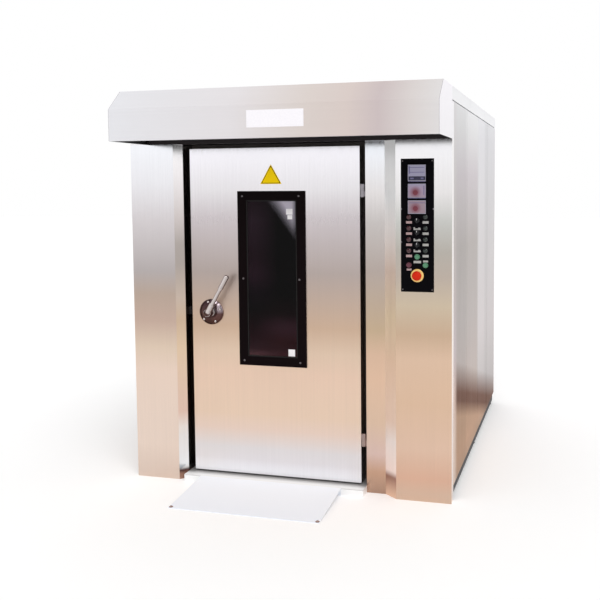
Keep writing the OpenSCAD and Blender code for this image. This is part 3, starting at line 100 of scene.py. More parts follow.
def add(tree, kind, stops=(), **given):
    """Adds one node with its settings, its links and the stops of its ramp."""
    made = wire(tree.nodes.new("ShaderNode" + kind), **given)
    if stops:
        marks = made.color_ramp.elements
        while len(marks) < len(stops):
            marks.new(1.0)
        for mark, (place, code) in zip(marks, stops.items()):
            mark.position, mark.color = place, srgb(code)
    return made


def new_material(name, **values):
    """A material with its shader's own values, its tree, its shader and its Object coordinates."""
    made = bpy.data.materials.new(name)
    made.use_nodes = True
    tree = made.node_tree
    return made, tree, wire(tree.nodes["Principled BSDF"], **values), add(tree, "TexCoord").outputs["Object"]


def set_light():
    """A white surround, softer for diffuse light than the eye sees it, and one broad soft lamp."""
    world = bpy.data.worlds.new("white surround")
    bpy.context.scene.world = world
    world.use_nodes = True
    tree = world.node_tree
    seen = add(tree, "LightPath")
    mirrored = add(
        tree, "Math", operation="MAXIMUM", i0=seen.outputs["Is Camera Ray"], i1=seen.outputs["Is Glossy Ray"])
    passed = add(tree, "Math", operation="MAXIMUM", i0=mirrored, i1=seen.outputs["Is Transmission Ray"])
    strength = add(tree, "MapRange", Value=passed, To_Min=0.74, To_Max=1.0)
    wire(tree.nodes["Background"], Strength=strength, Color="#FFFFFF")
    lamp = bpy.data.lights.new("soft lamp", "SUN")
    lamp.energy = 1.1
    lamp.angle = math.radians(40)
    holder = bpy.data.objects.new("soft lamp", lamp)
    holder.rotation_euler = (math.radians(38), 0, math.radians(28))
    bpy.context.collection.objects.link(holder)


def make_floor():
    """A plain white floor that keeps the oven's shadow."""
    white, tree, shader, where = new_material("matt white floor paint", Roughness=0.9, Specular_IOR_Level=0.1)
    speckle = add(tree, "TexNoise", Vector=where, Scale=40.0, Detail=2.0)
    wire(shader, Base_Color=add(tree, "ValToRGB", Fac=speckle, stops={0.0: "#F9F9F9", 1.0: "#FCFCFC"}))
    seen = add(tree, "LightPath")
    glow = add(tree, "MapRange", Value=seen.outputs["Is Camera Ray"], To_Max=0.09)
    wire(shader, Emission_Strength=glow, Emission_Color="#FFFFFF")
    bm = bmesh.new()
    bmesh.ops.create_grid(bm, x_segments=2, y_segments=2, size=40)
    mesh = bpy.data.meshes.new("floor")
    bm.to_mesh(mesh)
    bm.free()
    floor = bpy.data.objects.new("floor", mesh)
    mesh.materials.append(white)
    bpy.context.collection.objects.link(floor)


# ---- finishes

UPRIGHT = (110, 110, 1.5)  # grain that runs up a sheet
LEVEL = (1.5, 110, 110)  # grain that runs along the front
EVEN = (300, 300, 300)  # fine grain without a direction
HEIGHT = (0.0, 2.2)  # from the floor to the roof
SINKING = (0.0, 0.257, 1.0)  # height above a plane that sinks towards the back


def rolled_steel(
        name, stops, axis="Z", span=HEIGHT, grain=UPRIGHT, rough=(0.11, 0.18), metal=1.0, streaks=0.03,
        parts=(), dark=(), ground=(), dull=(), film=()):
    """Stainless sheet with a fine directional grain and a tone that drifts along one axis.

    A coordinate is X, Y or Z, facing X, Y or Z, or slope.
    parts: (coordinate, from, to, stops) gives another tone past a border.
    dark: (coordinate, from, to, factor) darkens what lies past a border as painted shade, such as folds that
    turn inwards.
    ground: (coordinate, from, to, metallic) makes a bevel ground after welding, which scatters the light.
    dull: (coordinate, from, to, more) adds roughness, where hands and cloths have rubbed the sheen off.
    film: (coordinate, from, to, colour) tints grazing reflections past a border, a painted reflection tint.
    """
    made, tree, shader, where = new_material(name, Metallic=metal)
    place = add(tree, "SeparateXYZ", Vector=where).outputs
    facing = add(tree, "SeparateXYZ", Vector=where.node.outputs["Normal"]).outputs
    read = {"slope": add(tree, "VectorMath", operation="DOT_PRODUCT", i0=where, i1=SINKING).outputs["Value"]}
    for letter in "XYZ":
        read[letter], read["facing " + letter] = place[letter], facing[letter]
    run = add(tree, "MapRange", Value=read[axis], From_Min=span[0], From_Max=span[1])
    tone = add(tree, "ValToRGB", Fac=run, stops=stops).outputs[0]
    for source, start, end, other_stops in parts:
        past = add(tree, "MapRange", Value=read[source], From_Min=start, From_Max=end)
        other = add(tree, "ValToRGB", Fac=run, stops=other_stops)
        tone = add(tree, "Mix", data_type="RGBA", i0=past, i6=tone, i7=other).outputs[2]
    # real grain is about 0.1 mm wide: drawn 9 mm wide so that it shows
    stretched = add(tree, "Mapping", Vector=where, Scale=grain)
    lines = add(tree, "TexNoise", Vector=stretched, Scale=1.0, Detail=4.0, Roughness=0.6)
    cloud = add(tree, "TexNoise", Vector=where, Scale=2.2, Detail=2.0)
    both = add(tree, "Math", operation="MULTIPLY_ADD", i0=cloud, i1=0.7, i2=lines)
    shade = add(
        tree, "MapRange", Value=both, From_Min=0.55, From_Max=1.15, To_Min=1 - streaks, To_Max=1 + streaks)
    for source, start, end, factor in dark:
        past = add(
            tree, "MapRange", Value=read[source], From_Min=start, From_Max=end, To_Min=1.0, To_Max=factor)
        shade = add(tree, "Math", operation="MULTIPLY", i0=shade, i1=past)
    wire(shader, Base_Color=add(tree, "VectorMath", operation="SCALE", i0=tone, Scale=shade))
    roughness = add(
        tree, "MapRange", Value=lines, From_Min=0.3, From_Max=0.7, To_Min=rough[0], To_Max=rough[1])
    for source, start, end, more in dull:
        past = add(tree, "MapRange", Value=read[source], From_Min=start, From_Max=end, To_Max=more)
        roughness = add(tree, "Math", operation="ADD", i0=roughness, i1=past)
    wire(shader, Roughness=roughness)
    wire(shader, Normal=add(tree, "Bump", Height=lines, Strength=0.02, Distance=0.0004))
    for source, start, end, metallic in ground:
        past = add(
            tree, "MapRange", Value=read[source], From_Min=start, From_Max=end, To_Min=metal, To_Max=metallic)
        wire(shader, Metallic=past)
    tint = "#FFFFFF"
    for source, start, end, colour in film:
        past = add(tree, "MapRange", Value=read[source], From_Min=start, From_Max=end)
        tint = add(tree, "Mix", data_type="RGBA", i0=past, i6=tint, i7=colour).outputs[2]
    if film:
        wire(shader, Specular_Tint=tint)
    return made


# brushed stainless of the left post: its tones are painted reflection, pale at the top, cool grey in the
# middle, warm below; the fold has its own painted reflection, darker, with a dark line near the foot and a
# pale bar above, and the return inside the door's gap is darkened as painted shade
post_tones = {
    0.02: "#E0CDC0", 0.09: "#EDD9CB", 0.29: "#EAD3C3", 0.35: "#DFCAB6", 0.42: "#C6AD9F", 0.49: "#BAA79A",
    0.55: "#B6AEAD", 0.68: "#D5CFD1", 0.78: "#EBEAEE", 0.86: "#F4F5FA"}
left_fold = {
    0.014: "#B08A78", 0.024: "#4A3034", 0.032: "#EEEFEE", 0.14: "#F2E9E2", 0.18: "#E7C8B8", 0.345: "#E2C7AA",
    0.42: "#CEB49A", 0.48: "#C9B7A9", 0.57: "#AFA59F", 0.62: "#B1A8A3", 0.69: "#D1C8C6", 0.86: "#FFFDFF"}
left_post_steel = rolled_steel(
    "brushed stainless left post", post_tones, parts=[("X", -0.6597, -0.6592, left_fold)],
    dark=[("Y", 0.0415, 0.1, 0.25)])

# brushed stainless of the door: the same light painted in as reflection, warmest at a quarter of its height
# and white at its foot; its edges in the gaps are darkened as painted shade
door_tones = {
    0.03: "#F8F8FC", 0.06: "#E9E5E7", 0.09: "#E6E1E1", 0.14: "#EBD4C6", 0.18: "#EAD0BA", 0.29: "#E8CBB6",
    0.345: "#E0C7B1", 0.41: "#CDB19A", 0.55: "#B5A8A3", 0.69: "#CDC5C8", 0.76: "#E6E3E6", 0.86: "#FAF8FE"}
door_steel = rolled_steel(
    "brushed stainless door", door_tones, dark=[("Y", 0.062, 0.064, 0.4)], dull=[("Z", 1.66, 1.36, 0.26)])

# brushed stainless of the jamb and the right post: tones over height are painted reflection, the jamb's edge
# in the gap is darkened as painted shade, the pale fold between them is painted reflection, and the bright
# outer edge is a painted highlight
jamb_tones = {
    0.0: "#B49785", 0.055: "#CDA78F", 0.10: "#E0C5BC", 0.18: "#E2C4AC", 0.29: "#E3C0A6", 0.35: "#DCBBA2",
    0.41: "#C6AE92", 0.56: "#B5A8A1", 0.68: "#C8C2C0", 0.75: "#E2DEDE", 0.86: "#F4F7FD"}
jamb_steel = rolled_steel("brushed stainless jamb", jamb_tones, dark=[("Y", 0.062, 0.064, 0.4)])
right_tones = {
    0.02: "#DABFAB", 0.055: "#E0B8A1", 0.13: "#E6C6B0", 0.24: "#E1C0A5", 0.35: "#E0C1A8", 0.41: "#CCB096",
    0.48: "#CEBDA6", 0.55: "#BDB0A5", 0.61: "#B8B2AA", 0.68: "#C8C8C4", 0.75: "#E7E4E4", 0.86: "#F7F6F9"}
right_fold = {
    0.0: "#EDC3A6", 0.05: "#A07260", 0.065: "#FFE6DC", 0.14: "#F6E7DF", 0.19: "#EBCDB9", 0.34: "#E6C7AD",
    0.45: "#E0CAAC", 0.56: "#DAC3B4", 0.66: "#F4ECE8", 0.74: "#FFFFFF"}
side_edge = {0.0: "#FFF0E8", 0.3: "#FFE9DC", 0.45: "#F2E8E2", 0.7: "#E8E2E0", 1.0: "#F2F2F4"}
right_post_steel = rolled_steel(
    "brushed stainless right post", right_tones,
    parts=[("X", 0.6252, 0.6247, right_fold), ("facing X", 0.5, 0.6, side_edge)],
    ground=[("X", 0.6252, 0.6247, 0.1)])

# brushed stainless of the hood: brushed along its length; its tone, a little darker right of the middle, is
# painted reflection, and its inner faces and lip are darkened as painted shade
hood_steel = rolled_steel(
    "brushed stainless hood", {0.00: "#E6E6EA", 0.40: "#E2DEE0", 0.62: "#DAD0CB", 0.74: "#D8CBC6",
    0.83: "#CCBFBF", 0.92: "#D8D1CF", 1.00: "#DEDBDB"}, "X", (-0.82, 0.925), LEVEL, rough=(0.28, 0.4),
    streaks=0.02, dark=[("facing Z", -0.3, -0.5, 0.12), ("facing Y", 0.3, 0.5, 0.12)])

# brushed stainless of the hood's ends: an even pale tone, darkened inside as painted shade (the second border
# undoes the first)
hood_end_steel = rolled_steel(
    "brushed stainless hood end", {0.0: "#EFEDF0", 1.0: "#F6F3F8"}, "Z", (1.93, 2.2), LEVEL,
    rough=(0.28, 0.4), streaks=0.02, dark=[("X", -0.8190, -0.8189, 0.1), ("X", 0.9240, 0.9241, 10.0),
    ("facing Z", -0.3, -0.5, 0.2)])

# satin stainless of the wall panels: foil-smooth; its tones are painted reflection: dull at half height and
# paler towards the back, with bands along its length, a brown cast low down that sinks towards the back, and
# a painted highlight on the bright front edge; its grazing reflections are tinted to match
panel_tones = {
    0.00: "#C6B3A4", 0.30: "#B9ABA5", 0.41: "#B5ABA7", 0.61: "#AEA6A2", 0.795: "#C8C0C4", 0.91: "#DEDDDE",
    1.00: "#ECECEE"}
back_tones = {
    0.00: "#B4ACAA", 0.12: "#BEB6B5", 0.23: "#C9C2C1", 0.32: "#D2CACA", 0.61: "#D3CFD0", 0.91: "#DCDBDF",
    1.00: "#E6E6E9"}
band_tones = {0.0: "#6A4E44", 1.0: "#6A4E44"}
foot_tones = {0.0: "#B8A294", 0.08: "#C8A892", 0.14: "#BEA08A", 1.0: "#B89A84"}
edge_tones = {
    0.0: "#E9D2C1", 0.16: "#E9CFBD", 0.24: "#DCBCAB", 0.36: "#CEBFC1", 0.52: "#C4B7B4", 0.64: "#BFB7B4",
    1.0: "#E4E2E4"}
panel_steel = rolled_steel(
    "satin stainless wall panel", panel_tones, rough=(0.34, 0.46),
    parts=[("Y", 1.08, 1.16, back_tones), ("slope", 0.78, 0.61, band_tones),
    ("slope", 0.56, 0.47, foot_tones), ("Y", 0.20, 0.11, edge_tones)],
    dark=[("Y", 0.62, 0.50, 0.87), ("Y", 1.47, 1.57, 0.88), ("Y", 1.68, 1.78, 1.06)],
    film=[("slope", 0.78, 0.61, "#DCC4BA"), ("slope", 0.56, 0.47, "#F6E4D4"), ("Y", 0.20, 0.11, "#FFFFFF")])

# mill-finished stainless of the roof: a level tone with a fine rolled grain
roof_steel = rolled_steel(
    "mill stainless roof", {0.0: "#F1F1F3", 1.0: "#ECECEE"}, "Z", (2.1, 2.2), LEVEL, rough=(0.36, 0.48))

# bright pickled sheet of the ramp: nearly white, it scatters the light
ramp_steel = rolled_steel(
    "pickled stainless tread", {0.0: "#F3F7FF", 1.0: "#F5F9FF"}, "Y", (-0.42, 0.0), LEVEL, rough=(0.45, 0.6),
    metal=0.0, streaks=0.01)

# the sill is as bright as the ramp, and the frame behind the door is painted dark as the shade seen in the
# gaps round the door
frame_steel = rolled_steel(
    "pickled sill and shade-painted frame", {0.0: "#FFFFFF", 0.0187: "#FFFFFF", 0.0195: "#4A3E3A",
    1.0: "#57504C"}, rough=(0.4, 0.55), metal=0.2, streaks=0.02)


def light_sill(material):
    """Makes the sill's front strip glow: painted light that stands in for the light the door's mirror throws
    there, which few bounces lose.
    """
    tree = material.node_tree
    place = add(tree, "SeparateXYZ", Vector=add(tree, "TexCoord").outputs["Object"]).outputs
    under = add(tree, "MapRange", Value=place["Z"], From_Min=0.0415, From_Max=0.0405)
    over = add(tree, "MapRange", Value=place["Z"], From_Min=0.0385, From_Max=0.0395)
    front = add(tree, "MapRange", Value=place["Y"], From_Min=0.046, From_Max=0.004, To_Max=0.45)
    top = add(tree, "Math", operation="MULTIPLY", i0=under, i1=over)
    glow = add(tree, "Math", operation="MULTIPLY", i0=top, i1=front)
    wire(tree.nodes["Principled BSDF"], Emission_Strength=glow, Emission_Color="#FFFFFF")


light_sill(frame_steel)

# satin stainless inside the chamber: evenly lit, with faint heat tint near the ceiling
chamber_steel = rolled_steel(
    "satin stainless chamber", {0.0: "#C9C7C4", 0.8: "#C5C1BA", 1.0: "#BDB3A2"}, "Z", (0.0, 1.9),
    rough=(0.32, 0.46))

# baffle steel under the hood: dark and dull, painted as the shade under the hood, and bright where the header
# shows beside the hood
bare_end = {0.0: "#F4F2F5", 1.0: "#F4F2F5"}
baffle_steel = rolled_steel(
    "shade-painted baffle steel", {0.0: "#2A2426", 1.0: "#332C2E"}, "Z", (1.93, 2.15), rough=(0.4, 0.6), metal=0.6,
    parts=[("X", 0.915, 0.918, bare_end), ("X", -0.819, -0.821, bare_end)])

# turned steel of the main shaft and its gears: darker and duller than the sheets
turned_steel = rolled_steel(
    "turned gear steel", {0.0: "#8C8C8C", 1.0: "#969694"}, "Z", (2.0, 2.1), EVEN, rough=(0.25, 0.4))

# zinc plate on hinges, lock and screws: a soft bluish grey
zinc = rolled_steel(
    "zinc plated steel", {0.0: "#A38B84", 0.3: "#A8A2A3", 1.0: "#9C989E"}, "Z", (0.2, 1.8), (400, 400, 400),
    rough=(0.35, 0.5))

# polished metal of the rosette: its dark brown is painted reflection of a dark surround, with a painted pale
# reflection on its right
gunmetal = rolled_steel(
    "polished steel with painted reflection", {0.0: "#3C2620", 0.5: "#5A4340", 1.0: "#3A2830"}, "Z", (0.90, 1.05), EVEN,
    rough=(0.08, 0.2), streaks=0.25,
    parts=[("X", -0.468, -0.446, {0.0: "#54372C", 0.45: "#5E4442", 0.62: "#A89AA0", 1.0: "#A4969C"})])


def galvanised_sheet():
    """Hot-dip galvanised sheet: flat crystals of slightly different greys, about 12 mm across."""
    made, tree, shader, where = new_material("galvanised sheet", Metallic=1.0)
    flakes = add(tree, "TexVoronoi", Vector=where, Scale=80.0)
    grey = flakes.outputs["Color"]
    wire(shader, Base_Color=add(tree, "ValToRGB", Fac=grey, stops={0.0: "#A9ADAF", 1.0: "#C9CCCE"}))
    wire(shader, Roughness=add(tree, "MapRange", Value=grey, To_Min=0.3, To_Max=0.5))
    return made


def coated(name, low, high, scale, rough, bump=0.0, shine=0.5, **values):
    """A paint, plastic or rubber: two near tones in a fine mottle, with an optional raised grain."""
    made, tree, shader, where = new_material(name, Specular_IOR_Level=shine, **values)
    mottle = add(tree, "TexNoise", Vector=where, Scale=scale, Detail=3.0)
    wire(shader, Base_Color=add(tree, "ValToRGB", Fac=mottle, stops={0.35: low, 0.65: high}))
    roughness = add(
        tree, "MapRange", Value=mottle, From_Min=0.3, From_Max=0.7, To_Min=rough[0], To_Max=rough[1])
    wire(shader, Roughness=roughness)
    if bump:
        wire(shader, Normal=add(tree, "Bump", Height=mottle, Strength=bump, Distance=0.001))
    return made


galvanised = galvanised_sheet()
# powder paint on the frame steel: matt dark grey with a fine orange peel
frame_paint = coated("dark grey powder paint", "#3A3A3C", "#444446", 500.0, (0.5, 0.65), 0.15, shine=0.3)
# black oxide on the strike: it takes away the steel's shine
black_oxide = coated("black oxide", "#1E1A1B", "#292425", 400.0, (0.5, 0.65), 0.05, shine=0.2)
# stoved enamel on the motors: glossy blue with a faint orange peel
motor_enamel = coated("blue motor enamel", "#33506B", "#3A5875", 250.0, (0.25, 0.35), 0.08, Coat_Weight=0.3)
# grey cast iron: dark, grainy and dull
cast_iron = coated("grey cast iron", "#3E3937", "#4C4744", 350.0, (0.6, 0.8), 0.5, Metallic=0.6)
# bronze bearing bush: warm metal with fine turning
bronze = coated("bearing bronze", "#A8824A", "#B8925A", 300.0, (0.3, 0.45), 0.05, Metallic=1.0)
# nickel-plated brass of the gland nut: a pale warm grey, a little dull
brass = coated("nickel-plated brass", "#B9AE95", "#C6BCA6", 300.0, (0.25, 0.4), 0.03, Metallic=1.0)
# pressed mineral wool: ochre fibres about 2 mm long
mineral_wool = coated("pressed mineral wool", "#A3946A", "#C2B487", 420.0, (0.85, 0.95), 0.8)
# satin black paint of the window frame: almost black with a faint warm tone
black_paint = coated("satin black window paint", "#0D0708", "#130B0D", 300.0, (0.5, 0.65), 0.05, shine=0.03)
# printed black control foil: near black with a faint blue tone
control_foil = coated("black control foil", "#08070A", "#0C0B0F", 600.0, (0.45, 0.55), 0.04, shine=0.02)
# moulded black ABS of knobs and feet: matt near black with a fine grain
black_abs = coated("moulded black ABS", "#19191B", "#222225", 700.0, (0.45, 0.6), 0.1, shine=0.3)
# red polycarbonate of the stop controls: bright and glossy
red_button = coated("red polycarbonate", "#CC2208", "#D82C0E", 400.0, (0.3, 0.4), shine=0.12)
# dull red polycarbonate of the stop button: unlit and dark
dull_red_button = coated("unlit red polycarbonate", "#552030", "#63293A", 400.0, (0.3, 0.4), Coat_Weight=0.1)
# green polycarbonate of the start and light buttons: smooth and glossy
green_button = coated("green polycarbonate", "#48825F", "#568F6C", 400.0, (0.2, 0.3), Coat_Weight=0.1)
# yellow polycarbonate of the stop ring: warm and glossy
yellow_ring = coated("yellow polycarbonate", "#F6C66A", "#FCD684", 90.0, (0.25, 0.35), Coat_Weight=0.1)
# burnished screws of the window frame and the control plate: darker than the zinc
burnished = coated("burnished screw steel", "#625C5E", "#726C6E", 300.0, (0.3, 0.45), Metallic=1.0)
# white printed label film: matt, slightly uneven
label_film = coated("white label film", "#ECE8EA", "#F6F4F5", 500.0, (0.5, 0.6))
# printed labels of the control column: greyed by handling, and rosy beside the red lamps
grey_label = coated("greyed label print", "#A6A4A1", "#B0AEAA", 500.0, (0.5, 0.6))
rosy_label = coated("rosy label print", "#AC9090", "#B69A9A", 500.0, (0.5, 0.6))
# screen prints of the display: grey-lavender lines, pale edges of its fields, dark red spots, a blue band
display_print = coated("grey lavender print", "#6A6590", "#77729C", 400.0, (0.4, 0.5))
pale_print = coated("pale lavender print", "#A4A0B2", "#AEAABC", 400.0, (0.4, 0.5))
red_print = coated("dark red print", "#6E2234", "#7E2E40", 400.0, (0.4, 0.5))
navy_print = coated("dark blue print", "#211E3C", "#2A2748", 400.0, (0.4, 0.5))
# white lacquered sign plate: smooth and bright
sign_lacquer = coated("white sign lacquer", "#F6F3F8", "#FAF7FB", 120.0, (0.3, 0.4), Coat_Weight=0.2)
# EPDM rubber of the seals: matt near black
rubber = coated("EPDM seal rubber", "#1D1C1C", "#262524", 500.0, (0.7, 0.85), 0.2, shine=0.2)
# silicone joint filler between wall panels: matt mid grey
joint_filler = coated("grey silicone filler", "#BDB8B6", "#C7C3C1", 300.0, (0.6, 0.75), 0.1, shine=0.3)
# moulded housings on the mounting board: matt off-white
device_plastic = coated("white device plastic", "#D2D0C9", "#DDDBD5", 400.0, (0.4, 0.55), 0.05)
# yellow reflective foil over the window: it sends back part of the light like a metal
yellow_plate = coated(
    "yellow reflective foil", "#FFD400", "#FFDC0A", 200.0, (0.4, 0.5), Metallic=0.55, shine=0.15)


def chrome_plate():
    """Polished chrome: a mirror with hair-fine polishing marks, with painted shade where it faces the right.
    """
    made, tree, shader, where = new_material("polished chrome", Metallic=1.0)
    haze = add(tree, "TexNoise", Vector=where, Scale=600.0, Detail=3.0)
    wire(shader, Roughness=add(tree, "MapRange", Value=haze, To_Min=0.04, To_Max=0.14))
    facing = add(tree, "SeparateXYZ", Vector=where.node.outputs["Normal"]).outputs["X"]
    tone = add(
        tree, "ValToRGB", Fac=add(tree, "MapRange", Value=facing, From_Min=-1.0, From_Max=1.0),
        stops={0.0: "#B4A8A6", 0.42: "#D3CAC8", 0.62: "#CCC2BF", 0.85: "#A99F9D", 1.0: "#968D8B"})
    wire(shader, Base_Color=tone)
    return made


def smoked_glass():
    """Smoked oven glass: nearly black; its tones over height and across are painted reflection, with a pale
    diagonal painted reflection at its upper right, dimmed near the right frame as painted shade of the bead.
    """
    made, tree, shader, where = new_material("smoked oven glass", IOR=1.18)
    film = add(tree, "TexNoise", Vector=where, Scale=6.0, Detail=4.0)
    slope = add(tree, "VectorMath", operation="DOT_PRODUCT", i0=where, i1=(0.8, 0.0, 0.6)).outputs["Value"]
    place = add(tree, "SeparateXYZ", Vector=where).outputs
    height = add(tree, "MapRange", Value=place["Z"], From_Min=0.731, From_Max=1.614)
    left = add(
        tree, "ValToRGB", Fac=height, stops={0.016: "#8A5F66", 0.05: "#56323C", 0.14: "#3A1622",
        0.31: "#120A0E", 0.42: "#231020", 0.53: "#472A3C", 0.65: "#371C2C", 0.87: "#513749", 1.0: "#361C2C"})
    right = add(
        tree, "ValToRGB", Fac=height, stops={0.016: "#683A42", 0.05: "#542C34", 0.1: "#4C2026",
        0.19: "#5A3644", 0.28: "#240E14", 0.4: "#0A0406", 0.78: "#080408"})
    across = add(tree, "MapRange", Value=place["X"], From_Min=-0.19, From_Max=-0.06)
    tone = add(tree, "Mix", data_type="RGBA", i0=across, i6=left, i7=right).outputs[2]
    haze = add(tree, "MapRange", Value=slope, From_Min=0.865, From_Max=0.94)
    shaded = add(tree, "MapRange", Value=place["X"], From_Min=0.026, From_Max=0.046, To_Min=1.0, To_Max=0.5)
    haze = add(tree, "Math", operation="MULTIPLY", i0=haze, i1=shaded)
    mixed = add(tree, "Mix", data_type="RGBA", i0=haze, i6=tone, i7="#C9C2D0")
    wire(shader, Base_Color=mixed.outputs[2])
    wire(shader, Transmission_Weight=add(tree, "MapRange", Value=haze, To_Min=0.8, To_Max=0.2))
    wire(shader, Roughness=add(tree, "MapRange", Value=film, To_Min=0.02, To_Max=0.08))
    return made


def lamp_diffuser():
    """Pressed lamp glass: milky, with fine ribs that spread the light."""
    made, tree, shader, where = new_material(
        "pressed lamp glass", Transmission_Weight=0.5, IOR=1.5, Roughness=0.35)
    ribs = add(tree, "TexWave", Vector=where, Scale=40.0, bands_direction="Z")
    wire(shader, Base_Color=add(tree, "ValToRGB", Fac=ribs, stops={0.0: "#E9E2CE", 1.0: "#F5F0E2"}))
    wire(shader, Normal=add(tree, "Bump", Height=ribs, Strength=0.3, Distance=0.002))
    return made


def two_lenses():
    """Signal lamp caps: red ones on the left of the column, green ones on the right, finely ribbed."""
    made, tree, shader, where = new_material("ribbed lamp lens", Roughness=0.25, Coat_Weight=0.2)
    place = add(tree, "SeparateXYZ", Vector=where)
    side = add(tree, "MapRange", Value=place.outputs["X"], From_Min=0.742, From_Max=0.743)
    tone = add(tree, "ValToRGB", Fac=side, stops={0.0: "#43181F", 1.0: "#17231F"})
    ribs = add(tree, "TexWave", Vector=where, Scale=120.0, bands_direction="X")
    shade = add(tree, "MapRange", Value=ribs, To_Min=0.8, To_Max=1.15)
    wire(shader, Base_Color=add(tree, "VectorMath", operation="SCALE", i0=tone, Scale=shade))
    return made


def display_film():
    """Printed display film: pale lavender, with a pink cast in the lower two fields and a painted pink glow
    round its two red dots.
    """
    made, tree, shader, where = new_material("lavender display film", Roughness=0.3, Coat_Weight=0.1)
    place = add(tree, "SeparateXYZ", Vector=where)
    run = add(tree, "MapRange", Value=place.outputs["Z"], From_Min=1.525, From_Max=1.80)
    tone = add(
        tree, "ValToRGB", Fac=run, stops={0.0: "#96808B", 0.3: "#9F8996", 0.56: "#AA96B0", 0.64: "#A5A0BC",
        1.0: "#A9A5C0"}).outputs[0]
    for spot in ((0.733, -0.007, 1.655), (0.733, -0.007, 1.572)):
        away = add(tree, "VectorMath", operation="DISTANCE", i0=where, i1=spot).outputs["Value"]
        glow = add(tree, "MapRange", Value=away, From_Min=0.034, From_Max=0.012)
        tone = add(tree, "Mix", data_type="RGBA", i0=glow, i6=tone, i7="#84485A").outputs[2]
    dots = add(tree, "TexNoise", Vector=where, Scale=300.0)
    shade = add(tree, "MapRange", Value=dots, To_Min=0.93, To_Max=1.07)
    wire(shader, Base_Color=add(tree, "VectorMath", operation="SCALE", i0=tone, Scale=shade))
    return made


chrome = chrome_plate()
oven_glass = smoked_glass()
lamp_glass = lamp_diffuser()
lamp_lens = two_lenses()
display_face = display_film()

FINISHES = {
    left_post_steel: ["left_post"],
    right_post_steel: ["right_post"],
    jamb_steel: ["hinge_jamb"],
    door_steel: ["door_skin"],
    hood_steel: ["hood_front"],
    hood_end_steel: ["hood_ends"],
    panel_steel: ["side_panels", "rear_panels"],
    roof_steel: ["roof_panels"],
    ramp_steel: ["ramp"],
    frame_steel: ["door_frame"],
    baffle_steel: ["front_header", "hood_filters"],
    chamber_steel: ["floor_pan", "chamber_side_walls", "chamber_rear_wall", "chamber_ceiling", "door_liner",
                    "turntable", "rack_carrier"],
    galvanised: ["fan_inlet", "exhaust_ducts", "fan_impeller", "damper_flap"],
    frame_paint: ["base_frame", "heater_bank"],
    black_oxide: ["strike"],
    motor_enamel: ["fan_motor", "gearmotor"],
    cast_iron: ["steam_cascade", "top_bearing"],
    bronze: ["pivot_bush"],
    mineral_wool: ["insulation", "door_core"],
    black_paint: ["window_frame"],
    control_foil: ["control_plate"],
    black_abs: ["levelling_feet", "selector_top", "selector_middle", "selector_bottom"],
    red_button: ["estop_head"],
    dull_red_button: ["stop_button"],
    green_button: ["start_button", "light_button"],
    sign_lacquer: ["sign_plate"],
    rubber: ["door_gasket"],
    device_plastic: ["electric_panel"],
    turned_steel: ["main_shaft", "drive_pinion"],
    zinc: ["hinge_pins", "lock_case", "door_barrels", "latch_bolt", "estop_stem"],
    chrome: ["handle_rosette", "handle_lever"],
    oven_glass: ["window_glass"],
    lamp_glass: ["oven_lamp"],
    lamp_lens: ["signal_lamps"],
    display_face: ["display_module"],
}


def finish_nodes():
    """Gives each CAD node its finish."""
    for finish, nodes in FINISHES.items():
        for name in nodes:
            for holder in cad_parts[name].material_slots:
                holder.material = finish


# ---- making pieces

SHARP = math.radians(40)  # edges that turn more than this stay crisp


def piece(name, bm, finish, body):
    """Turns a bmesh into a piece that rides on a body."""
    bmesh.ops.recalc_face_normals(bm, faces=bm.faces)
    mesh = bpy.data.meshes.new(name)
    bm.to_mesh(mesh)
    bm.free()
    mesh.materials.append(finish)
    made = bpy.data.objects.new(name, mesh)
    bpy.context.collection.objects.link(made)
    mesh.shade_smooth()
    mesh.set_sharp_from_angle(angle=SHARP)
    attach(made, body)
    return made


def join(bm, part):
    """Adds a part's bmesh to another and frees it."""
    kept = bpy.data.meshes.new("part")
    part.to_mesh(kept)
    part.free()
    bm.from_mesh(kept)
    bpy.data.meshes.remove(kept)


def block(bm, lo, hi, edge=0.0, segments=2, lean=None):
    """A box between two corners in millimetres, with rounded edges. lean moves its upper back edge."""
    part = bmesh.new()
    bmesh.ops.create_cube(part, size=1)
    lo, hi = at(*lo), at(*hi)
    bmesh.ops.scale(part, vec=hi - lo, verts=part.verts)
    if lean:
        upper = [v for v in part.verts if v.co.z > 0 and v.co.y > 0]
        bmesh.ops.translate(part, vec=at(*lean), verts=upper)
    bmesh.ops.translate(part, vec=(lo + hi) / 2, verts=part.verts)
    if edge:
        bmesh.ops.bevel(
            part, geom=part.edges, offset=edge * MM, segments=segments, profile=0.5, affect="EDGES",
            material=-1)
    join(bm, part)


def flat_print(bm, face, height, across, up, edge=0.3):
    """A thin print or sticker on a face that looks to the front, with its limits in x and in z."""
    block(bm, (across[0], face - height, up[0]), (across[1], face, up[1]), edge)


def thicken(bm, faces, vec):
    """Raises flat faces by a vector, with walls round them."""
    raised = bmesh.ops.extrude_face_region(bm, geom=faces)["geom"]
    bmesh.ops.translate(bm, vec=vec, verts=[v for v in raised if isinstance(v, bmesh.types.BMVert)])


FACING = {name: Matrix.Rotation(math.radians(turn), 4, axis) for name, turn, axis in (
    ("front", 90, "X"), ("back", -90, "X"), ("right", 90, "Y"), ("left", -90, "Y"), ("up", 0, "X"),
    ("down", 180, "X"), ("lever", 30, "Y"))}


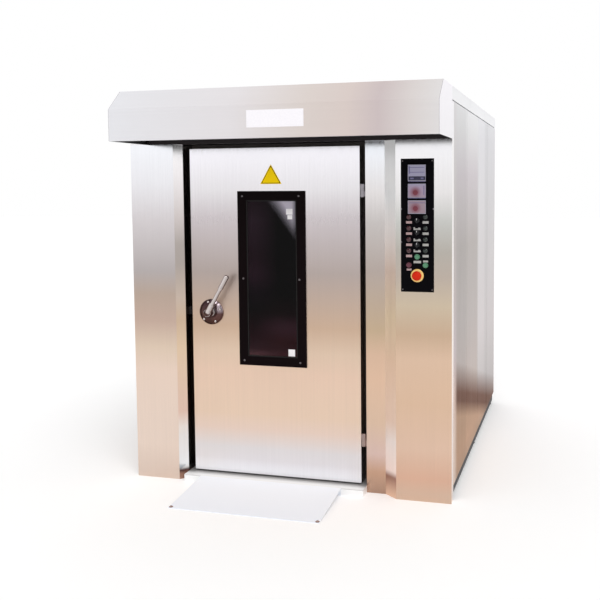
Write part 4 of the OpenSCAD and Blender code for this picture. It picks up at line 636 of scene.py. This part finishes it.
def lathe(bm, profile, place, facing="front", steps=48):
    """Turns a profile of (radius, height) in millimetres round an axis from a place to a side."""
    part = bmesh.new()
    ring = [part.verts.new(at(r, 0, h)) for r, h in profile]
    edges = [part.edges.new(pair) for pair in zip(ring, ring[1:])]
    bmesh.ops.spin(
        part, geom=ring + edges, cent=(0, 0, 0), axis=(0, 0, 1), angle=math.tau, steps=steps, use_merge=True)
    bmesh.ops.remove_doubles(part, verts=part.verts, dist=1e-6)
    bmesh.ops.recalc_face_normals(part, faces=part.faces)
    bmesh.ops.transform(part, matrix=Matrix.Translation(at(*place)) @ FACING[facing], verts=part.verts)
    join(bm, part)


def ring(bm, inner, outer, height, place, facing="front", steps=48, edge=1.0):
    """A turned ring with a rounded outer edge."""
    lathe(
        bm, [(inner, 0), (outer, 0), (outer, height - edge), (outer - edge, height), (inner, height),
        (inner, 0)], place, facing, steps)


def screw(bm, place, radius, height, facing="front"):
    """A pan-head screw with a sunk socket."""
    socket = 0.45 * radius
    lathe(
        bm, [(0, 0.35 * height), (socket, 0.35 * height), (socket, height), (0.7 * radius, height),
        (radius, 0.45 * height), (radius, 0), (0, 0)], place, facing, steps=16)


def hex_nut(bm, place, radius, height, facing="up", bore=0.0):
    """A six-sided nut with a chamfered top."""
    lathe(
        bm, [(bore, 0), (radius, 0), (radius, 0.85 * height), (0.86 * radius, height), (bore, height),
        (bore, 0)], place, facing, steps=6)


def rim(bm, middle, size, bar, depth, facing="front", edge=0.0):
    """A rectangular frame that stands out of a face by a depth, with its outer size and its bar's width."""
    part = bmesh.new()
    bmesh.ops.create_grid(part, x_segments=1, y_segments=1, size=0.5)
    bmesh.ops.scale(part, vec=(size[0], size[1], 1), verts=part.verts)
    inner = bmesh.ops.inset_region(
        part, faces=part.faces[:], thickness=bar, depth=0, use_boundary=True, use_even_offset=True)
    middle_face = [f for f in part.faces if f not in inner["faces"]]
    bmesh.ops.delete(part, geom=middle_face, context="FACES")
    thicken(part, part.faces[:], (0, 0, depth))
    bmesh.ops.scale(part, vec=(MM, MM, MM), verts=part.verts)
    if edge:
        bmesh.ops.bevel(
            part, geom=part.edges, offset=edge * MM, segments=2, profile=0.5, affect="EDGES", material=-1)
    bmesh.ops.transform(part, matrix=Matrix.Translation(at(*middle)) @ FACING[facing], verts=part.verts)
    join(bm, part)


# ---- door

DOOR_FACE = 60  # front of the door's skin, y
FRAME_FACE = 54  # front of the window frame, y
LINER_FACE = 150  # back of the door's liner, y
WINDOW = (-95, 1172.5)  # middle of the window, x and z
LEVER = (-466, 977)  # axis of the lever, x and z
HINGE_X = 430
LINER_RIVET = [(0, 1.6), (3, 1.1), (4.5, 0), (0, 0)]


def make_window_details():
    """Screws and edge of the window frame, the bead round its pane and bare stickers on the pane."""
    screws, bead, edge, marks = (bmesh.new() for _ in range(4))
    for x in (-266, 68):
        for z in (706, 1173, 1637):
            screw(screws, (x, FRAME_FACE, z), 6, 2.5)
    piece("window_screws", screws, burnished, "door")
    x, z = WINDOW
    rim(bead, (x, DOOR_FACE, z), (298, 883), 6, 3)
    piece("window_bead", bead, rubber, "door")
    rim(edge, (x, FRAME_FACE, z), (400, 985), 5, 1.2, edge=0.5)
    piece("window_frame_edge", edge, black_paint, "door")
    for across, up in (((-8, 30), (1534, 1566)), ((0, 28), (1508, 1531)), ((-3, 36), (740, 779))):
        flat_print(marks, 59.9, 1, across, up)
    piece("window_stickers", marks, label_film, "door")


def make_triangle():
    """The blank yellow triangle over the window, with a thin dark line inside its border."""
    for name, radius, thick, finish, slot in (
            ("triangle_plate", 73, 1.0, yellow_plate, "sign_white"),
            ("triangle_line", 66, 1.3, black_paint, "black_frame"),
            ("triangle_face", 60, 1.6, yellow_plate, "sign_white")):
        bm = bmesh.new()
        bmesh.ops.create_circle(bm, cap_ends=True, segments=3, radius=radius * MM)
        bmesh.ops.bevel(
            bm, geom=bm.verts[:], offset=5 * MM, segments=4, profile=0.5, affect="VERTICES", material=-1)
        thicken(bm, bm.faces[:], (0, 0, thick * MM))
        stand = Matrix.Translation(at(WINDOW[0], DOOR_FACE, 1740)) @ FACING["front"]
        bmesh.ops.transform(bm, matrix=stand, verts=bm.verts)
        piece(name, bm, finish, "door")


def make_handle():
    """Rosette with a dark dish, a rim and four bright studs, and the lever with its hub, grip and spindle."""
    x, z = LEVER
    dish, edge, bright, lever, inlay, spindle = (bmesh.new() for _ in range(6))
    lathe(
        dish, [(9, 0), (66, 0), (66, 8), (58, 14), (50, 17), (40, 17.6), (34, 15), (29, 11), (9, 11), (9, 0)],
        (x, DOOR_FACE, z))
    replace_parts(piece("rosette_dish", dish, gunmetal, "door"), "handle_rosette")
    lathe(
        edge, [(66.2, 0), (73, 0), (73, 5), (71.5, 8), (69, 9.5), (66.2, 8.5), (66.2, 0)], (x, DOOR_FACE, z))
    piece("rosette_rim", edge, gunmetal, "door")
    for turn in (105, 17, -62, -135):
        a = math.radians(turn)
        lathe(
            bright, [(0, 6), (4, 5.2), (7, 2.6), (8, 0), (0, 0)],
            (x + 59 * math.cos(a), 47, z + 59 * math.sin(a)), steps=20)
    piece("rosette_studs", bright, chrome, "door")
    lathe(
        lever, [(0, 0), (25, 0), (25, 5), (21, 9), (18, 18), (18, 26), (20, 32), (21.5, 37), (21.5, 47),
        (20.8, 50.5), (19, 51.7), (18, 50), (17, 45), (0, 45)], (x, 47.7, z))
    lathe(
        lever, [(0, 0), (14, 0), (17, 6), (17, 50), (15, 57), (11.5, 62), (11, 150), (12.5, 158), (15, 164),
        (15, 234), (14, 242), (10, 248), (4, 250), (0, 250)], (x, 4, z), "lever", 32)
    for height in (168, 175):
        ring(lever, 14.5, 15.2, 3, (x + 0.5 * height, 4, z + 0.866 * height), "lever", 32, 0.4)
    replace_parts(piece("lever_body", lever, chrome, "lever"), "handle_lever")
    lathe(inlay, [(0, 0), (16.6, 0), (16.6, 1.2), (8, 2), (6, 2), (5, 0.4), (0, 0.4)], (x, 2.7, z), steps=32)
    piece("lever_inlay", inlay, gunmetal, "lever")
    lathe(spindle, [(0, 0), (8, 0), (8, 62), (7, 63), (0, 63)], (x, 111, z), steps=24)
    piece("lever_spindle", spindle, zinc, "lever")


def make_hinge_details():
    """Domed caps and bearing washers of the two hinges."""
    upper, lower = bmesh.new(), bmesh.new()
    cap = [(0, 4), (6, 3.4), (10, 1.6), (11.5, 0), (0, 0)]
    for z in (294, 1665):
        lathe(upper, cap, (HINGE_X, DOOR_FACE, z + 34.3), "up", 24)
        lathe(lower, cap, (HINGE_X, DOOR_FACE, z - 34), "down", 24)
        ring(lower, 7.2, 12.6, 2.4, (HINGE_X, DOOR_FACE, z - 2.6), "up", 24, 0.5)
    piece("hinge_upper_caps", upper, zinc, "door")
    piece("hinge_lower_caps", lower, zinc, "oven_body")


def make_door_back():
    """Seal with rounded lips and a brush below, rivets and screws of the liner, and the inner knob."""
    lips, rivets, knob = (bmesh.new() for _ in range(3))
    for x0, x1 in ((-577, -553), (383, 407)):
        block(lips, (x0, LINER_FACE, 60), (x1, 155, 1897), 1.5)
        for x in (x0 + 2, x1 - 10):
            block(lips, (x, 154, 61), (x + 8, 161.7, 1896), 3.4, 3)
    block(lips, (-552.5, LINER_FACE, 1873), (382.5, 155, 1897), 1.5)
    for z in (1875, 1887):
        block(lips, (-552.5, 154, z), (382.5, 161.7, z + 8), 3.4, 3)
    block(lips, (-535, 98, 47), (365, 108, 54), 1)
    for x in range(-534, 366, 12):
        block(lips, (x, 100, 40.6), (x + 9, 106, 48), 0.8, 1)
    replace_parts(piece("door_seal", lips, rubber, "door"), "door_gasket")
    for x in (-536, 366):
        for z in range(100, 1860, 220):
            lathe(rivets, LINER_RIVET, (x, LINER_FACE, z), "back", 12)
    for x in (-536, -386, -236, -85, 66, 216, 366):
        for z in (70, 1862):
            lathe(rivets, LINER_RIVET, (x, LINER_FACE, z), "back", 12)
    for x in (-266, 76):
        for z in (706, 939, 1172, 1405, 1637):
            screw(rivets, (x, 154, z), 5, 2.5, "back")
    piece("liner_rivets", rivets, zinc, "door")
    lathe(
        knob, [(0, 36), (14, 34.5), (22, 30), (24, 25), (22, 20), (12, 17), (9, 12), (9, 3), (16, 1.5),
        (16, 0), (0, 0)], (LEVER[0], LINER_FACE, LEVER[1]), "back", 32)
    piece("inner_release_knob", knob, green_button, "door")


# ---- controls

COLUMN = 742.5  # middle of the control column, x
PITCH = 44  # from the column's middle to the lamps on either side
PLATE_FACE = -4  # front of the control plate, y
SCREEN_FACE = -7  # front of the display, y
SCREEN_X = 740.5  # middle of the display
STOP_Z = 1217  # middle of the emergency stop


def make_control_details():
    """Blank label strips, plate screws, clips, bezels and rims, and the yellow ring of the stop."""
    labels, rosy, screws, clips, border, yellow = (bmesh.new() for _ in range(6))
    for z in (1497, 1438, 1379, 1320):
        for x, strip in ((COLUMN - PITCH, rosy), (COLUMN + PITCH, labels)):
            flat_print(strip, PLATE_FACE, 0.8, (x - 16, x + 16), (z - 6.5, z + 6.5))
    for z in (1461, 1402, 1344):
        for x0, x1, z0, z1 in ((-20, 18, -4, 4), (-20, -12, 3, 10), (4, 16, 3, 8)):
            flat_print(labels, PLATE_FACE, 0.8, (COLUMN + x0, COLUMN + x1), (z + z0, z + z1))
    for strip, x, half, up in (
            (labels, COLUMN, 20, (1282, 1295)), (labels, COLUMN + PITCH, 13, (1287, 1297)),
            (rosy, COLUMN - PITCH, 13, (1243, 1253))):
        flat_print(strip, PLATE_FACE, 0.8, (x - half, x + half), up)
    piece("control_labels", labels, grey_label, "oven_body")
    piece("control_labels_left", rosy, rosy_label, "oven_body")
    for x in (664, 821):
        for z in (1818, 1142):
            screw(screws, (x, PLATE_FACE, z), 4, 2)
    piece("control_plate_screws", screws, burnished, "oven_body")
    for x, z in ((657, 1567), (828, 1567), (657, 1393)):
        block(clips, (x - 3, -5.5, z - 4), (x + 3, -1, z + 4), 0.8)
    piece("control_plate_clips", clips, zinc, "oven_body")
    for name, x, z, finish, slot in (
            ("start_bezel", COLUMN, 1316, green_button, "green_plastic"),
            ("stop_bezel", COLUMN - PITCH, 1272, dull_red_button, "red_plastic"),
            ("light_bezel", COLUMN + PITCH, 1272, green_button, "green_plastic")):
        bezel = bmesh.new()
        ring(bezel, 11.6, 14.6, 2.4, (x, -8, z), steps=32, edge=0.8)
        piece(name, bezel, finish, "oven_body")
    rim(border, (COLUMN, PLATE_FACE, 1480), (175, 700), 3.5, 1.5, edge=0.6)
    rim(border, (SCREEN_X, PLATE_FACE, 1670), (107, 267), 5.2, 4, edge=0.6)
    piece("control_plate_rims", border, control_foil, "oven_body")
    lathe(yellow, [(13, 0), (13, 1.4), (33.5, 1.4), (34.5, 0.6), (34.5, 0), (13, 0)], (COLUMN, -8, STOP_Z))
    piece("stop_ring", yellow, yellow_ring, "oven_body")


def make_display_details():
    """Printed rows, the dark band with two readouts, field rims and plain red dots of the display."""
    band, digits, frames, rows, dots = (bmesh.new() for _ in range(5))
    flat_print(band, SCREEN_FACE, 0.8, (697, 786), (1717, 1737))
    piece("display_band", band, navy_print, "oven_body")
    for across in ((706, 724), (762, 776)):
        flat_print(digits, -7.8, 0.6, across, (1723, 1731), 0.2)
    piece("display_readouts", digits, display_print, "oven_body")
    for middle, height in ((1755.5, 84.6), (1662.5, 72.6), (1577, 69.6)):
        rim(frames, (SCREEN_X, SCREEN_FACE, middle), (94.6, height), 2.6, 0.7, edge=0.2)
    piece("display_field_rims", frames, pale_print, "oven_body")
    for across, up in (
            ((694, 787), (1708.8, 1711.2)), ((694, 787), (1622.3, 1624.7)), ((704, 780), (1782, 1785)),
            ((704, 780), (1757, 1760)), ((698, 704), (1750, 1790)), ((698, 784), (1609, 1612)),
            ((698, 784), (1598, 1600.5)), ((776, 780), (1640, 1688))):
        flat_print(rows, SCREEN_FACE, 0.6, across, up, 0.2)
    piece("display_rows", rows, display_print, "oven_body")
    for z in (1652, 1569):
        lathe(dots, [(0, 0.8), (12, 0.8), (13, 0.5), (13, 0), (0, 0)], (733, SCREEN_FACE, z), steps=32)
    piece("display_dots", dots, red_print, "oven_body")


def make_knobs():
    """Selector knobs with a grip bar and a white pointer line, and the mushroom head of the stop."""
    for number, name in enumerate(("selector_top", "selector_middle", "selector_bottom"), 1):
        z = 1571 - 64 * number
        knob, line = bmesh.new(), bmesh.new()
        lathe(
            knob, [(0, 0), (10.8, 0), (10.8, 22), (12.7, 22.2), (12.7, 25.5), (11.5, 27), (0, 27)],
            (COLUMN, 14, z), steps=32)
        block(knob, (COLUMN - 3.5, -25, z - 13.2), (COLUMN + 3.5, -12, z + 13.2), 1.4)
        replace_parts(piece("selector_knob_" + str(number), knob, black_abs, "selector_" + str(number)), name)
        flat_print(line, -24.6, 0.8, (COLUMN - 0.9, COLUMN + 0.9), (z + 2, z + 11.5), 0.2)
        piece("selector_pointer_" + str(number), line, label_film, "selector_" + str(number))
    head = bmesh.new()
    lathe(
        head, [(0, 18), (8, 17.4), (15, 15.4), (20, 12.2), (24, 8.4), (25, 6), (25, 3), (23.5, 0.6), (20, 0),
        (0, 0)], (COLUMN, -19.3, STOP_Z))
    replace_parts(piece("stop_mushroom", head, red_button, "stop_head"), "estop_head")


# ---- outside

ROOF = 2200  # top of the roof panels, z
BACK = 2200  # outside of the back wall, y
ROOF_JOINTS = (733.3, 1466.7)  # y
WALL_RIVET = [(0, 1.8), (4, 1.3), (6, 0), (0, 0)]


def make_ramp_screws():
    """Two floor screws with washers at the ramp's front corners."""
    bm = bmesh.new()
    for x in (-502.5, 308.5):
        lathe(bm, [(0, 4.4), (11, 4.4), (11, 6), (0, 6)], (x, -408, 0), "up", 24)
        screw(bm, (x, -408, 6), 7.5, 4, "up")
    piece("ramp_screws", bm, zinc, "oven_body")


def make_joint_fillers():
    """Grey filler set back in the joints between wall panels, and between roof panels."""
    bm = bmesh.new()
    for y in (595, 1130, 1665):
        for x0, x1 in ((-923.5, -915), (915, 923.5)):
            block(bm, (x0, y - 1.4, 81), (x1, y + 1.4, 2123), 0.4, 1)
    for x in (-288.3, 288.3):
        block(bm, (x - 1.4, 2190, 81), (x + 1.4, 2198.5, 2123), 0.4, 1)
    for y in ROOF_JOINTS:
        block(bm, (-924, y - 1.4, 2132), (924, y + 1.4, 2198.5), 0.4, 1)
    piece("joint_fillers", bm, joint_filler, "oven_body")


def make_roof_details():
    """Capping strips and screws of the roof joints, flashing behind the hood, lifting eyes, collar bands."""
    strips, screws, bands = (bmesh.new() for _ in range(3))
    for y in ROOF_JOINTS:
        block(strips, (-924, y - 24, ROOF), (924, y + 24, 2202.5), 1)
        for x in range(-880, 881, 220):
            for side in (-15, 15):
                screw(screws, (x, y + side, 2202.5), 5, 3, "up")
    block(strips, (-818, -14, ROOF), (922, 22, 2202), 0.8)
    for x in range(-790, 900, 168):
        screw(screws, (x, 12, 2202), 5, 3, "up")
    piece("roof_capping", strips, roof_steel, "oven_body")
    eye = [(14 + 6 * math.cos(math.tau * i / 10), 6 * math.sin(math.tau * i / 10)) for i in range(11)]
    for x in (-780, 780):
        for y in (260, 1940):
            block(screws, (x - 40, y - 40, ROOF), (x + 40, y + 40, 2206), 1.5)
            lathe(screws, [(0, 0), (17, 0), (17, 8), (10, 12), (0, 12)], (x, y, 2206), "up", 24)
            lathe(screws, eye, (x, y, 2236), "front", 32)
    piece("roof_screws", screws, zinc, "oven_body")
    for x, y, r in ((-297, 450, 93), (-500, 1142, 78)):
        ring(bands, r, r + 2.4, 14, (x, y, 2226), "up", 64, 0.6)
        lathe(
            bands, [(r - 0.4, 0), (r + 1.8, 0.6), (r + 2.4, 2), (r + 1.8, 3.4), (r - 0.4, 4), (r - 0.4, 0)],
            (x, y, 2265.5), "up", 64)
        lathe(
            bands, [(r + 0.3, 0), (r + 26, 0), (r + 26, 1.2), (r + 4, 4), (r + 0.3, 5), (r + 0.3, 0)],
            (x, y, ROOF), "up", 64)
        for y0, y1 in ((y - 9, y - 6), (y + 6, y + 9)):
            block(bands, (x + r + 1, y0, 2228), (x + r + 13, y1, 2238), 0.6)
        lathe(bands, [(0, 0), (3, 0), (3, 22), (0, 22)], (x + r + 8, y + 11, 2233), "front", 12)
    piece("collar_bands", bands, galvanised, "oven_body")


def make_rear_details():
    """Service cover with louvres and turn locks, wall rivets, blank plate and gland nut on the back."""
    cover, fixings, plate, gland = (bmesh.new() for _ in range(4))
    block(cover, (-262, BACK, 420), (262, 2203, 1560), 1.2)
    rim(cover, (0, 2203, 990), (524, 1140), 18, 1.6, "back", 0.5)
    for bank in (520, 1230):
        for z in range(bank, bank + 252, 28):
            for x in (-205, 15):
                block(cover, (x, 2202.5, z), (x + 190, 2212, z + 17), 1.5, 2, (0, -7.5, 0))
    piece("service_cover", cover, panel_steel, "oven_body")
    for x in (-253, 0, 253):
        for z in (429, 990, 1551) if x else (429, 1551):
            screw(fixings, (x, 2204.6, z), 6, 3, "back")
    for z in (560, 1140):
        lathe(fixings, [(0, 9), (9, 8.4), (12, 6), (13, 0), (0, 0)], (236, 2203, z), "back", 24)
        block(fixings, (233.5, 2211, z - 9), (238.5, 2214.5, z + 9), 1)
    for x in (-840, -600, -310, -267, -25, 25, 267, 310, 600, 840):
        for z in (110, 2095):
            lathe(fixings, WALL_RIVET, (x, BACK, z), "back", 16)
    piece("rear_fixings", fixings, zinc, "oven_body")
    block(plate, (-140, 2203, 900), (-20, 2204, 975), 0.4)
    piece("blank_rating_plate", plate, label_film, "oven_body")
    hex_nut(gland, (715, 2206.3, 1900), 23.5, 8, "back", 17)
    ring(gland, 10.2, 18, 2.2, (715, 2218, 1900), "back", 32, 0.8)
    piece("gland_nut", gland, brass, "oven_body")


def make_feet():
    """Levelling feet with a rubber pad, a threaded stem and a lock nut."""
    pads, metal = bmesh.new(), bmesh.new()
    for x, y in [(side * 895, y) for side in (-1, 1) for y in (140, 1100, 2120)] + [(0, 2170)]:
        lathe(pads, [(0, 0), (17, 0), (18, 1), (18, 5), (16, 7.5), (10, 8.5), (0, 8.5)], (x, y, 0), "up", 32)
        lathe(metal, [(0, 7), (7, 7), (7, 19.8), (0, 19.8)], (x, y, 0), "up", 20)
        hex_nut(metal, (x, y, 11.5), 12, 8.3)
    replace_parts(piece("foot_pads", pads, black_abs, "oven_body"), "levelling_feet")
    piece("foot_nuts", metal, zinc, "oven_body")


def make_hood_details():
    """Handles of the three baffle filters."""
    bm = bmesh.new()
    for x in (-635, -297, 41):
        for foot in (x - 48, x + 48):
            block(bm, (foot - 5, -48, 1966), (foot + 5, -29, 1974), 1.5)
        block(bm, (x - 53, -56, 1966), (x + 53, -47, 1974), 2.5)
    piece("filter_handles", bm, zinc, "oven_body")


# ---- chamber

WALLS = ((-685, "right"), (515, "left"))  # inner faces of the side walls, x, and where they look
CHAMBER_END = 1412  # front of the rear wall, y
AXIS_X, AXIS_Y = -85, 812  # the turntable's axis


def make_chamber_details():
    """Rolled lips of the air slots, rings of the intake grille, the lamp's guard and the wall rivets."""
    lips, guard, rivets = (bmesh.new() for _ in range(3))
    for x, facing in WALLS:
        for y in range(362, 1263, 150):
            rim(lips, (x, y, 960), (1612, 30), 6, 2.4, facing, 0.6)
    ring(lips, 188, 198, 4, (AXIS_X, CHAMBER_END, 1100), "front", 64, 1.5)
    ring(lips, 20, 26, 3, (AXIS_X, CHAMBER_END, 1100), "front", 32, 1)
    piece("air_slot_lips", lips, chamber_steel, "oven_body")
    for z in (1215, 1297, 1380, 1463, 1545):
        rim(guard, (-664, 272, z), (44, 74), 4, 4, "up", 1.2)
    for y in (245, 272, 299):
        block(guard, (-646, y - 2, 1206), (-642, y + 2, 1558), 1)
    for y in (238, 306):
        for z in (1190, 1570):
            screw(guard, (-679, y, z), 5, 2.5, "right")
    piece("lamp_guard", guard, zinc, "oven_body")
    for z in range(120, 1860, 290):
        for y in (232, 1392):
            for x, facing in WALLS:
                lathe(rivets, WALL_RIVET, (x, y, z), facing, 12)
        for x in (-665, 495):
            lathe(rivets, WALL_RIVET, (x, CHAMBER_END, z), "front", 12)
    piece("chamber_rivets", rivets, zinc, "oven_body")


def make_carrier_details():
    """Foot bolts and corner gussets of the rack carrier, and bolts of the turntable's guides."""
    bolts, gussets = bmesh.new(), bmesh.new()
    for side in (-1, 1):
        for turn in range(4):
            a = math.radians(45 + 90 * turn)
            screw(
                bolts, (AXIS_X + side * 430 + 23 * math.cos(a), AXIS_Y + 23 * math.sin(a), 55), 4.5, 4, "up")
        for y in (520, 700, 924, 1104):
            screw(bolts, (AXIS_X + side * 352, y, 50), 6, 3, "up")
    piece("carrier_bolts", bolts, zinc, "rotor")
    for side in (-1, 1):
        x = AXIS_X + side * 415
        outline = [(x, 1781), (x - side * 88, 1781), (x - side * 88, 1770), (x - side * 10, 1696), (x, 1696)]
        sheet = gussets.faces.new([gussets.verts.new(at(u, 809, v)) for u, v in outline])
        thicken(gussets, [sheet], at(0, 6, 0))
    piece("carrier_gussets", gussets, chamber_steel, "rotor")


for make in (
        set_camera, set_light, make_floor, finish_nodes, make_window_details, make_triangle, make_handle,
        make_hinge_details, make_door_back, make_control_details, make_display_details, make_knobs,
        make_ramp_screws, make_joint_fillers, make_roof_details, make_rear_details, make_feet,
        make_hood_details, make_chamber_details, make_carrier_details):
    make()

bpy.context.scene.view_settings.view_transform = "Standard"
